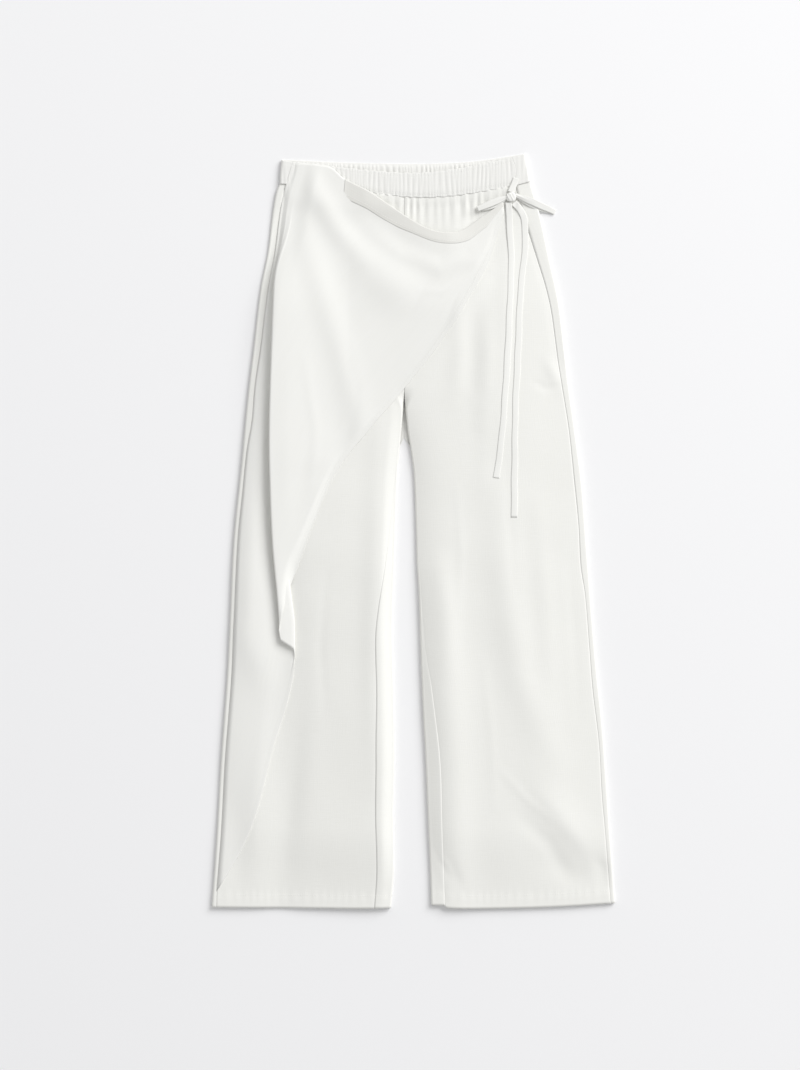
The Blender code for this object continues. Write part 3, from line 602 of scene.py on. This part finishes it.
def stitches(name, slot, *lines):
    """Stitches along lines of points, as one plain mesh."""
    corners, edges = [], []
    for x, y, z in lines:
        first = len(corners)
        corners += (np.stack(np.broadcast_arrays(x, y, z), axis=-1) * MM).tolist()
        edges += [(index, index + 1) for index in range(first, len(corners) - 1)]
    mesh = bpy.data.meshes.new(name)
    mesh.from_pydata(corners, edges, [])
    lines_item = bpy.data.objects.new(name + "_lines", mesh)
    bpy.context.scene.collection.objects.link(lines_item)
    modifier = lines_item.modifiers.new("stitches", "NODES")
    modifier.node_group = STITCHES
    for socket in STITCHES.interface.items_tree:
        if socket.name == "Material":
            modifier[socket.identifier] = THREAD.material
        if socket.name == "Seed":
            modifier[socket.identifier] = len(corners)
    graph = bpy.context.evaluated_depsgraph_get()
    made = bpy.data.meshes.new_from_object(lines_item.evaluated_get(graph))
    lines_item.modifiers.remove(modifier)
    bpy.data.objects.remove(lines_item)
    made.name = name
    made.shade_smooth()
    item = on_root(name, made)
    return item


for side, name in ((-1, "left"), (1, "right")):
    front = leg_front(side, f"front_of_{name}")
    hem_x = np.linspace(6, 244, 200) + (-270.0 if side < 0 else 22.0)
    hem_y = along(HEM_LINE, hem_x) + HEM_DEPTH - HEM_STITCH
    hem = stitches(f"hem_stitches_{name}", "leg_linen",
                   (hem_x, hem_y, FRONT_TOP + front_lift(hem_x, hem_y) + 0.05))


# Waistband
# A casing of the same linen over an elastic, gathered evenly along both halves. The front half
# lies on the back half and dips, so a sliver of the back half's inner face shows above it.

BAND_TOP = 7.2
BAND_RADIUS = BAND_TOP / 2
# Top lines of both halves, rows of (x, y), then their ends and seams, rows of (y, x)
BAND_FRONT_HEAD = ((-185, 512), (-165, 508.5), (-115, 503), (-60, 497), (0, 493.5), (57, 499),
                   (95, 506), (136, 515), (155, 520.4))
BAND_BACK_HEAD = ((-185, 512.6), (-165, 512), (-100, 509), (0, 506.8), (57, 508.5), (89, 511),
                  (137, 518), (155, 521))
BAND_LEFT_OUTER = ((478, -184.4), (496, -183.4), (514, -181.6))
BAND_RIGHT_OUTER = ((478, 162.3), (498.5, 158), (521, 154.5))
BAND_LEFT_SEAM = ((478, -175.6), (490, -172), (512, -165.6))
BAND_RIGHT_SEAM = ((476, 139.8), (492, 140.5), (500, 140.6), (516, 134.6))
BAND_LINEN = linen("band_linen", (0.88, 0.878, 0.855), (0.815, 0.81, 0.78))
BAND_WALL = 1.0
BAND_STITCH = 0.13
BAND_SIDE_STEPS, BAND_TURN_STEPS, BAND_BACK_STEPS = 3, 4, 80


def band_gathers(x, level, seed):
    """Depth, from 0 on a ridge to 1 in a valley, of the gathers over the elastic."""
    pick = np.random.default_rng(seed)
    a, b, c = pick.uniform(0, 6, 3)
    swerve = (1.7 * np.sin(x / 17 + a) + 1.1 * np.sin(x / 6.1 + b)
              + 2.6 * (level - 0.5) * np.sin(x / 13 + c))
    main = (0.5 + 0.5 * np.cos((x + swerve) * 2 * np.pi / 7.1)) ** 1.5
    small = (0.5 + 0.5 * np.cos((x - 0.6 * swerve) * 2 * np.pi / 4.2 + c)) ** 2
    fade = 0.55 + 0.45 * np.sin(x / 7.7 + a + 2.4 * level)
    near_edge = np.abs(2 * level - 1) ** 2
    return main * fade * (0.85 - 0.3 * near_edge) + small * (0.2 + 0.45 * near_edge) * (1.1 - fade)


def band_crown(level):
    """Fall of the casing's face towards its two edges, with a stitched groove beside each."""
    edge = np.minimum(level, 1 - level)
    groove = 0.18 * np.exp(-(((edge - BAND_STITCH) / 0.03) ** 2))
    return 0.25 * (1 - ease(edge, 0.0, 0.14)) + groove


def band_front_points(share, level):
    """Middle of the front half's cloth at a share of its length and a level up from its foot."""

    def across(at):
        return mix(along(BAND_LEFT_SEAM, at) - LAP, along(BAND_RIGHT_SEAM, at) + LAP, share)

    def up(at):
        return mix(along(BAND_FRONT_FOOT, at), along(BAND_FRONT_HEAD, at), level)

    x, y = settle(across, up, np.full(share.shape, 490.0))
    ends = ease(np.minimum(share, 1 - share), 0.0, 0.02)
    foot = 0.35 * (1 - ease(level, 0, 0.3))
    drop = 0.6 * band_gathers(x, level, 11) * ends + band_crown(level) + foot
    y = y + 0.5 * np.sin(x / 2.3 + np.sin(x / 9)) * (2 * level - 1) ** 4 * ends
    return x, y, BAND_TOP - BAND_WALL / 2 - drop


def waistband_back():
    """Back half of the band: flat on the floor outside, gathered inside, round both ends."""
    turn_end = BAND_SIDE_STEPS + BAND_TURN_STEPS
    whole = 2 * turn_end + BAND_BACK_STEPS
    half = stations((0, BAND_SIDE_STEPS, turn_end), (10, 16))[:-1]
    middle = np.linspace(turn_end, whole - turn_end, 400)
    steps = np.concatenate([half, middle, whole - half[::-1]])
    step, level = np.meshgrid(steps, np.linspace(0, 1, 25))
    from_end = np.minimum(step, whole - step)
    left_half = step < whole / 2
    side = np.where(left_half, -1, 1)
    floor_share = ease(from_end, BAND_SIDE_STEPS, turn_end)
    angle = np.pi * np.clip(from_end - BAND_SIDE_STEPS, 0, BAND_TURN_STEPS) / BAND_TURN_STEPS

    def across(at):
        outer = np.where(left_half, along(BAND_LEFT_OUTER, at), along(BAND_RIGHT_OUTER, at))
        seam = np.where(left_half, along(BAND_LEFT_SEAM, at), along(BAND_RIGHT_SEAM, at))
        outer = outer - side * BAND_RADIUS
        left = along(BAND_LEFT_OUTER, at) + BAND_RADIUS
        right = along(BAND_RIGHT_OUTER, at) - BAND_RADIUS
        x = mix(left, right, (step - turn_end) / BAND_BACK_STEPS)
        x = np.where(from_end <= turn_end, outer + side * BAND_RADIUS * np.sin(angle), x)
        to_seam = mix(seam - side * LAP, outer, from_end / BAND_SIDE_STEPS)
        return np.where(from_end <= BAND_SIDE_STEPS, to_seam, x)

    def up(at):
        foot = mix(along(BAND_FRONT_FOOT, at), along(BAND_BACK_FOOT, at), floor_share)
        top = mix(along(BAND_FRONT_HEAD, at), along(BAND_BACK_HEAD, at), floor_share)
        return mix(foot, top, level)

    x, y = settle(across, up, np.full(step.shape, 490.0))
    radius = BAND_RADIUS - BAND_WALL / 2
    z = BAND_WALL / 2 + radius * (1 + np.cos(angle))
    inside = ease(from_end, turn_end, turn_end + 5)
    rim = ease(np.minimum(level, 1 - level), 0, 0.2)
    z = z + inside * 1.1 * (1 - band_gathers(x, level, 57)) * rim
    z = z - (1 - inside) * 0.5 * band_gathers(x, level, 31) * ease(z, 4, 6)
    z = z - 0.9 * band_crown(level) * ease(z, 4, 6)
    return cloth("band_back", x, y, z, BAND_WALL, BAND_LINEN)


band_back = waistband_back()
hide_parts("waistband_back")
shares, levels = np.meshgrid(np.linspace(0, 1, 420), np.linspace(0, 1, 33))
band_front = cloth("band_front", *band_front_points(shares, levels), BAND_WALL, BAND_LINEN)
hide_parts("waistband_front")
seams = []
for level in (BAND_STITCH, 1 - BAND_STITCH):
    x, y, z = band_front_points(np.linspace(0.01, 0.99, 300), np.full(300, level))
    seams.append((x, y, z + BAND_WALL / 2 + 0.1))
casing = stitches("casing_stitches", "band_linen", *seams)


# Wrap panel
# One sheet of linen sewn into the left side seam. It folds over itself along that seam, falls in
# a cowl below its top edge, and crosses to the right hip with a narrow slanted hem.

# Its top edge and its slanted hem, rows of (share of the way across, x, y)
WRAP_TOP = ((0.0, -152, 507), (0.1, -132, 505), (0.19, -113, 501), (0.27, -95, 486),
            (0.4, -61.5, 468), (0.5, -36, 451), (0.6, -8, 432), (0.7, 20.7, 416), (0.79, 46, 411),
            (0.87, 68, 415), (0.94, 94, 433), (1.0, 124, 453))
WRAP_HEM = ((0.0, -182.5, -123), (0.07, -169, -86), (0.15, -150.5, -44), (0.3, -107, 75),
            (0.48, -58, 143), (0.62, -16, 192), (0.76, 46, 272), (0.87, 94.6, 352),
            (0.93, 107, 379), (0.97, 118, 416), (1.0, 125, 441))
FACING_WIDTH = 22.0
WRAP_GAP = 0.2
WRAP_ROWS = 18
COWL, COWL_DEPTH = 3.6, 52

# The overhanging fold: rows of (y, x of its edge, how far the cloth tucks under it)
FOLD_EDGE = ((-520, -185, 21), (-185, -185, 20), (-126, -184.4, 19.5), (-97, -186.4, 18),
             (-12, -194, 15), (98, -198, 11.5), (153, -198, 10), (243, -195.4, 8),
             (333, -192, 5.5), (413, -188, 3), (470, -178, 0), (512, -165, 0))
FOLD_TUCK_RADIUS = 1.25
FOLD_RISE = 2.4
FOLD_EDGE_RADIUS = 2.1
FOLD_HEIGHT = 2 * FOLD_TUCK_RADIUS + FOLD_RISE + 2 * FOLD_EDGE_RADIUS
# Heights between which it grows and tucks under, and how far across the panel it falls away
FOLD_GROWS = (285, 470)
FOLD_TUCKS = (330, 430)
FOLD_REACH = 95.0
# Its columns' places past the seam where the cloth lies plain, and the hem of the part below it
PLAIN_SPACING = ((0, 0.0), (5, 2.0), (9, 6.8), (11, 9.0), (16, 15.5))
UNDER_HEM = ((0.0, -497), (0.35, -425), (0.5, -380), (0.69, -300), (0.87, -247), (1.0, -200))
TUCK_HEM_Y = -185.0
EDGE_HEM_X, EDGE_HEM_Y = -182.5, -123.0
FOLD_TOP_X, EDGE_TOP_X, EDGE_TOP_Y = -164.0, -152.0, 507.0
SEAM_INSET, SEAM_SINK = 1.2, 0.75
# Ridges and creases of the panel, rows as for the leg fronts
WRAP_FOLDS = (
    (2.9, 20, ((-158, 484), (-148, 400), (-122, 320), (-98, 240), (-78, 160), (-62, 80))),
    (3.7, 17, ((-152, 512), (-136, 468), (-106, 418), (-70, 374))),
    (4.4, 32, ((-86, 388), (-38, 346), (8, 322))),
    (1.9, 13, ((-85, 440), (-19, 385), (37, 362), (80, 374), (104, 400))),
    (1.4, 17, ((-120, 120), (-134, 20), (-146, -30))),
)
WRAP_CREASES = (
    (0.5, 7, ((-150, 240), (-134, 140), (-140, 60))),
    (-0.4, 8, ((-90, 250), (-78, 190), (-86, 140))),
    (0.4, 6, ((10, 330), (40, 330), (74, 350))),
)
UNDER_STEPS, TUCK_STEPS, MIDDLE_STEPS, EDGE_STEPS = 5, 4, 2, 5
FOLD_STEPS = UNDER_STEPS + TUCK_STEPS + MIDDLE_STEPS + EDGE_STEPS
WRAP_HEM_DEPTH, WRAP_HEM_STITCH = 7.0, 1.4
WRAP_LINEN = linen("wrap_linen", (0.89, 0.89, 0.865), (0.83, 0.828, 0.795))


def wrap_base(x, y):
    """Middle height of the wrap's cloth where it lies plain on the front or on the band."""
    band = ease(y - along(BAND_FRONT_FOOT, x), -36, -7)
    plain = FRONT_TOP + gather_shape(x, y) + leg_crown(x, y)
    return mix(plain, BAND_TOP, band) + WRAP_GAP + CLOTH / 2


def front_surface(x, y):
    """Height of the top of the leg fronts."""
    gathers = gather_shape(x, y) * gather_wave(x, y)
    return FRONT_TOP + front_lift(x, y) + gathers - waist_pinch(x, y)


def fold_share(y):
    """Share of its full height that the fold has at a height of the leg."""
    return (1 - ease(y, *FOLD_GROWS)) * mix(0.38, 1.0, ease(y, -160, 100))


def fold_section(step, y):
    """Sideways and upward place of points of the overhanging fold, at height y of the leg."""
    edge, tuck = along(FOLD_EDGE, y)
    seam = np.where(y < 479, along(LEFT_SEAM, y), along(BAND_LEFT_SEAM, y)) + SEAM_INSET
    inner_x = edge + tuck
    low = 2 * FOLD_TUCK_RADIUS
    first, second = UNDER_STEPS, UNDER_STEPS + TUCK_STEPS
    third = second + MIDDLE_STEPS
    tuck_angle = np.pi * (step - first) / TUCK_STEPS
    share = (step - second) / MIDDLE_STEPS
    edge_angle = np.pi * (step - third) / EDGE_STEPS
    where = [step <= first, step <= second, step <= third]
    sideways = np.select(where, [
        mix(seam, inner_x, step / first),
        inner_x + FOLD_TUCK_RADIUS * np.sin(tuck_angle),
        mix(inner_x, edge + FOLD_EDGE_RADIUS, share),
    ], edge + FOLD_EDGE_RADIUS * (1 - np.sin(edge_angle)))
    upward = np.select(where, [
        np.zeros(step.shape),
        FOLD_TUCK_RADIUS * (1 - np.cos(tuck_angle)),
        low + FOLD_RISE * share,
    ], low + FOLD_RISE + FOLD_EDGE_RADIUS * (1 - np.cos(edge_angle)))
    x = mix(seam + along(PLAIN_SPACING, step), sideways, 1 - ease(y, *FOLD_TUCKS))
    return x, upward * fold_share(y)


def fold_hem(step):
    """Height of the leg at which the fold's column ends in the hem."""
    edge = mix(TUCK_HEM_Y, EDGE_HEM_Y, (step - UNDER_STEPS) / (FOLD_STEPS - UNDER_STEPS))
    return np.where(step <= UNDER_STEPS, along(UNDER_HEM, step / UNDER_STEPS), edge)


def hem_slant(share):
    """Distance to the slanted hem for each millimetre down the panel, least near its tip."""
    return mix(0.36, 0.72, ease(share, 0.1, 0.5))


def wrap_points(step, share, down):
    """Middle of the wrap's cloth at a fold step, a share of the front and a way down the panel."""
    folding = share < 0
    share = np.maximum(share, 0.0)
    front_x, front_y = along(WRAP_TOP, share)
    hem_x, front_hem_y = along(WRAP_HEM, share)
    top_x = np.where(folding, mix(FOLD_TOP_X, EDGE_TOP_X, step / FOLD_STEPS), front_x)
    top_y = np.where(folding, EDGE_TOP_Y, front_y)
    hem_y = np.where(folding, fold_hem(step), front_hem_y)
    length = top_y - hem_y
    head = np.minimum(FACING_WIDTH, 0.5 * length)
    y = np.where(down <= 1, top_y - head * down,
                 top_y - head - (length - head) * (down - 1) / WRAP_ROWS)
    fold_x, rise = fold_section(step, y)
    x = mix(top_x, hem_x, (top_y - y) / length)
    near_edge = (1 - ease(share, 0.0, 0.5)) ** 2
    start_x = fold_section(np.full(step.shape, float(FOLD_STEPS)), y)[0]
    plain_x = mix(EDGE_TOP_X, EDGE_HEM_X,
                  np.clip((EDGE_TOP_Y - y) / (EDGE_TOP_Y - EDGE_HEM_Y), 0.0, 1.0))
    x = np.where(folding, fold_x, x + near_edge * (start_x - plain_x))
    edge, tuck = along(FOLD_EDGE, y)
    grown = fold_share(y)
    room = np.interp(y, [row[2] for row in WRAP_HEM], [row[1] for row in WRAP_HEM]) - edge
    reach = np.clip(room, 14, tuck + FOLD_REACH)
    across = np.clip((x - edge - FOLD_EDGE_RADIUS - 1) / reach, 0, 1)
    fall = 1 - mix(across, ease(across, 0, 1), 0.5)
    away = ease(x - start_x, 2, 26)
    from_hem = (y - hem_y) * hem_slant(share)
    hem = 0.2 * (1 - ease(from_hem, WRAP_HEM_DEPTH - 0.6, WRAP_HEM_DEPTH + 0.8))
    groove = -0.3 * np.exp(-(((from_hem - WRAP_HEM_DEPTH + WRAP_HEM_STITCH) / 1.1) ** 2))
    ripple = 0.14 * np.sin(y / 1.7 + 2 * np.sin(y / 14)) * (1 - ease(from_hem, 2, 16))
    soft = fold_height(WRAP_FOLDS, x, y) + fold_height(WRAP_CREASES, x, y)
    uneven = 0.5 * (rumple(x, y, 23) + 0.9)
    cowl = COWL * (1 - ease(top_y - y, 0, COWL_DEPTH))
    cowl = cowl * ease(share, 0.27, 0.4) * (1 - ease(share, 0.78, 0.92))
    front = cowl + FOLD_HEIGHT * grown * fall + (soft + uneven) * away + hem + groove + ripple
    under_it = front_surface(x, y) + CLOTH / 2
    laid = folding * (1 - ease(step, UNDER_STEPS, UNDER_STEPS + TUCK_STEPS + MIDDLE_STEPS))
    z = mix(wrap_base(x, y), under_it + WRAP_GAP, laid) + np.where(folding, rise, front)
    under = folding & (step <= UNDER_STEPS)
    touching = (1 - ease(from_hem, 0.5, 14)) * np.where(folding, under, away)
    at_seam = under * (1 - ease(step, 0, 0.5))
    z = np.maximum(z, under_it + WRAP_GAP)
    z = mix(z, under_it + WRAP_GAP / 2 + hem, np.maximum(touching, at_seam))
    return x - SEAM_INSET * at_seam, y, z - SEAM_SINK * at_seam


def fold_columns():
    """Columns of the wrap's mesh: steps round the fold, then shares of the front."""
    tuck_end = UNDER_STEPS + TUCK_STEPS
    ends = (0, UNDER_STEPS, tuck_end, tuck_end + MIDDLE_STEPS, FOLD_STEPS)
    steps = stations(ends, (16, 17, 5, 21))[:-1]
    shares = stations((0, 0.12, 1), (14, 110))
    return (np.concatenate([steps, np.full(len(shares), float(FOLD_STEPS))]),
            np.concatenate([np.full(len(steps), -1.0), shares]))


def wrap_panel():
    """The overlay: side seam, overhanging fold, cowl and slanted hem in one sheet."""
    steps, shares = fold_columns()
    rows = stations((WRAP_ROWS + 1, 1, 0), (172, 8))
    down, step = np.meshgrid(rows, steps, indexing="ij")
    share = np.broadcast_to(shares, step.shape)
    return cloth("wrap", *wrap_points(step, share, down), CLOTH, WRAP_LINEN)


wrap = wrap_panel()
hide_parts("wrap_panel")
hem_share = np.linspace(0.02, 0.98, 400)
hem_length = along(WRAP_TOP, hem_share)[1] - along(WRAP_HEM, hem_share)[1]
hem_above = (WRAP_HEM_DEPTH - WRAP_HEM_STITCH) / hem_slant(hem_share)
below_facing = hem_length - np.minimum(FACING_WIDTH, 0.5 * hem_length)
hem_down = WRAP_ROWS + 1 - WRAP_ROWS * hem_above / below_facing
x, y, z = wrap_points(np.full(400, float(FOLD_STEPS)), hem_share, hem_down)
slanted_hem = stitches("slanted_hem_stitches", "wrap_linen", (x, y, z + CLOTH / 2 + 0.05))


# Wrap facing
# A strip of the same linen, coloured darker as painted shade, that finishes the cowl's top edge
# where the edge falls over. It is stitched down along its lower edge.

FACING_SHARE, FACING_WALL, FACING_STITCH = 0.275, 0.3, 0.76
# The facing's darker colour is painted shade, for the cowl's edge falling over away from the
# light.
FACING_PAINTED_SHADE_LINEN = linen("facing_painted_shade_linen", (0.835, 0.83, 0.795), (0.77, 0.765, 0.725))


def facing_points(level, share):
    """Middle of the facing's cloth at a level down from the cowl's edge and a share along it."""
    down = level * mix(1.2, 0.7, ease(share, 0.45, 0.7))
    x, y, z = wrap_points(np.full(share.shape, float(FOLD_STEPS)), share, down)
    lower = 0.4 * ease(level, 0.78, 1.0)
    groove = -0.12 * np.exp(-(((level - FACING_STITCH) / 0.05) ** 2))
    start = 0.4 * (1 - ease(share, FACING_SHARE, FACING_SHARE + 0.05))
    return x, y, z + (CLOTH + FACING_WALL) / 2 + 0.12 + groove - lower - start


levels, shares = np.meshgrid(
    np.linspace(1, 0, 14), np.linspace(FACING_SHARE, 1, 150), indexing="ij")
facing = cloth("facing", *facing_points(levels, shares), FACING_WALL, FACING_PAINTED_SHADE_LINEN)
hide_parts("wrap_facing")
x, y, z = facing_points(np.full(240, FACING_STITCH), np.linspace(FACING_SHARE + 0.01, 0.97, 240))
facing_seam = stitches("facing_stitches", "wrap_linen", (x, y, z + FACING_WALL / 2 + 0.08))


# Ties and bow
# Narrow strips of the linen folded and stitched flat, tied in a bow on the right hip with two
# long free ends. A short strand leads down to the knot from the waistband seam.

TIE_WALL, LOOP_WALL = 0.5, 0.6
TIE_WIDTH, LOOP_WIDTH = 8.5, 9.0
LOOP_BEND = 0.6
LOOP_OUT, LOOP_BACK = 0.4, 0.6
KNOT_MIDDLE, KNOT_HALF = (134.5, 460.0, 9.0), (6.8, 6.4, 2.6)
# Routes of the ends and the strand, rows of (x, y, rise above what they lie on)
TIE_LONG = ((138.5, 452.5, 1.6), (148, 441, 0.6), (153.4, 424, 0.0), (153.5, 389, 0.0),
            (147.5, 326, 0.0), (143, 231, 0.0), (139.6, 137, 0.0), (138.8, 18.6, 0.0))
TIE_SHORT = ((131, 452.5, 2.2), (132, 430, 1.0), (134.6, 365, 0.0), (132, 294, 0.0),
             (127, 199, 0.0), (122, 137, 0.0), (114, 73, 0.0))
TIE_STRAND = ((141.5, 486, 0.0), (139, 478, 0.4), (134.5, 466.5, 1.6))
TIE_LINEN = linen("tie_linen", (0.885, 0.885, 0.86), (0.825, 0.822, 0.79))


def strip(name, rows, steps, base=None):
    """A folded tie along a route of (x, y, rise) rows, on the leg fronts or at a height base."""
    keyed = [(index, *row) for index, row in enumerate(rows)]
    place, column = np.meshgrid(
        np.linspace(0, len(rows) - 1, steps), np.linspace(-1, 1, 9), indexing="ij")
    x, y, rise = along(keyed, place)
    run_x, run_y = np.gradient(x, axis=0), np.gradient(y, axis=0)
    length = np.hypot(run_x, run_y)
    waver = 0.3 * np.sin(y / 9.0) + 0.2 * np.sin(y / 23.0)
    shift = column * (TIE_WIDTH / 2 + 0.25 * np.sin(y / 31.0)) + waver
    x, y = x + run_y / length * shift, y - run_x / length * shift
    below = front_surface(x, y) + TIE_WALL / 2 if base is None else base
    crown = 0.16 * (1 - column**2) - 0.1
    return cloth(name, x, y, below + rise + crown, TIE_WALL, TIE_LINEN)


def bow_loop(name, start, tip, heights):
    """A loop of the tie: out from the knot, round its tip and back above itself."""
    start, tip = np.array(start), np.array(tip)
    length = np.linalg.norm(tip - start)
    out = (tip - start) / length
    turn, column = np.meshgrid(np.linspace(0, 1, 70), np.linspace(-1, 1, 9), indexing="ij")
    angle = np.pi * np.clip((turn - LOOP_OUT) / 0.2, 0, 1)
    run = length * np.where(turn <= LOOP_BACK, np.clip(turn / LOOP_OUT, 0, 1),
                            1 - np.clip((turn - LOOP_BACK) / LOOP_OUT, 0, 1))
    rise = -LOOP_BEND * np.cos(angle)
    share = np.clip(run / length, 0, 1)
    width = LOOP_WIDTH * (0.55 + 0.45 * ease(share, 0.0, 0.4)) * (1 - 0.2 * ease(share, 0.6, 1.0))
    lower = 1 - ease(turn, 0.36, 0.6)
    side = width * column / 2 - 3.2 * np.sign(out[0]) * lower * np.sin(np.pi * share)
    puff = 0.4 * np.sin(np.pi * share) * np.where(rise > 0, 1, -0.2)
    run = run + LOOP_BEND * np.sin(angle)
    crease = 0.5 * np.cos(column * 4.2) * (1 - ease(share, 0.0, 0.6)) * np.where(rise > 0, 1, 0)
    x = start[0] + out[0] * run - out[1] * side
    y = start[1] + out[1] * run + out[0] * side
    droop = 0.5 * column * np.sin(np.pi * share)
    z = along(heights, share) + rise + puff + crease + droop
    return cloth(name, x, y, z, LOOP_WALL, TIE_LINEN)


def squared(value, power):
    """The value raised to a power below 1, its sign kept, which squares off a round shape."""
    return np.sign(value) * np.abs(value) ** power


def bow_knot():
    """The knot: a strip wound round the crossing, so a small cushion with slanted wraps."""
    turn, slope = np.meshgrid(
        np.linspace(0, 2 * np.pi, 65), np.linspace(-np.pi / 2, np.pi / 2, 33), indexing="ij")
    level = squared(np.cos(slope), 0.7)
    x = squared(np.cos(turn), 0.75) * level
    y = squared(np.sin(turn), 0.75) * level
    z = squared(np.sin(slope), 0.8)
    wraps = 0.07 * np.sin(9 * x + 5 * y + 1) + 0.04 * np.sin(16 * x + 6 * y)
    swell = 1 + wraps * np.maximum(z, 0)
    corners = [middle + half * value * swell
               for middle, half, value in zip(KNOT_MIDDLE, KNOT_HALF, (x, y, z))]
    corners = np.stack(corners, axis=-1)[:-1] * MM
    rows, columns = corners.shape[:2]
    number = np.arange(rows * columns).reshape(rows, columns)
    ahead = np.roll(number, -1, axis=0)
    faces = np.stack([number[:, :-1], ahead[:, :-1], ahead[:, 1:], number[:, 1:]], axis=-1)
    mesh = bpy.data.meshes.new("knot")
    mesh.from_pydata(corners.reshape(-1, 3).tolist(), [], faces.reshape(-1, 4).tolist())
    mesh.shade_smooth()
    spread = corners.reshape(-1, 3)[:, :2]
    mesh.uv_layers.new(name="cloth").data.foreach_set("uv", spread[faces.ravel()].ravel())
    mesh.materials.append(TIE_LINEN)
    return on_root("knot", mesh)


tie_pieces = {
    "tie_long": strip("long_end", TIE_LONG, 260),
    "tie_short": strip("short_end", TIE_SHORT, 240),
    "tie_strand": strip("strand", TIE_STRAND, 24, base=BAND_TOP + 0.4),
    "bow_loop_left": bow_loop("loop_left", (130.0, 461.0), (89.0, 444.0),
                              ((0, 8.7), (0.5, 8.1), (1, 7.7))),
    "bow_loop_right": bow_loop("loop_right", (139.5, 463.5), (195.0, 440.5),
                               ((0, 8.7), (0.45, 7.4), (0.7, 4.2), (1, 1.6))),
    "bow_knot": bow_knot(),
}
for node, piece in tie_pieces.items():
    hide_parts(node)
tie_cuts = {
    "tie_long": (0.44, "laid", "front_of_right"),
    "tie_short": (0.385, "laid", "front_of_right"),
    "tie_strand": (0.022, "laid", "band_front"),
    "bow_loop_left": (0.092, "folded", "front_of_right"),
    "bow_loop_right": (0.124, "folded", "front_of_right"),
}
for node, (length, held, below) in tie_cuts.items():
    [tie_pieces["bow_knot"]] if node == "tie_strand" else []


# Camera and light
# The camera looks straight down, as in the photograph. One large soft light from the upper right
# shades the folds, and a pale studio fills in the rest.

camera = bpy.data.cameras.new("camera")
camera.lens = 73.07
camera.sensor_width = 36.0
eye = bpy.data.objects.new("camera", camera)
eye.location = (-0.0186, -0.0055, 3.0)
bpy.context.scene.collection.objects.link(eye)
bpy.context.scene.camera = eye

key = bpy.data.lights.new("key", "AREA")
key.energy = 950.0
key.size = 6.5
lamp = bpy.data.objects.new("key", key)
lamp.location = (6.6, 5.8, 5.9)
lamp.rotation_euler = lamp.location.to_track_quat("Z", "Y").to_euler()
bpy.context.scene.collection.objects.link(lamp)

world = bpy.data.worlds.new("studio")
world.use_nodes = True
world.node_tree.nodes["Background"].inputs["Color"].default_value = (1.0, 1.0, 1.0, 1.0)
world.node_tree.nodes["Background"].inputs["Strength"].default_value = 0.56
bpy.context.scene.world = world
bpy.context.scene.view_settings.view_transform = "Standard"
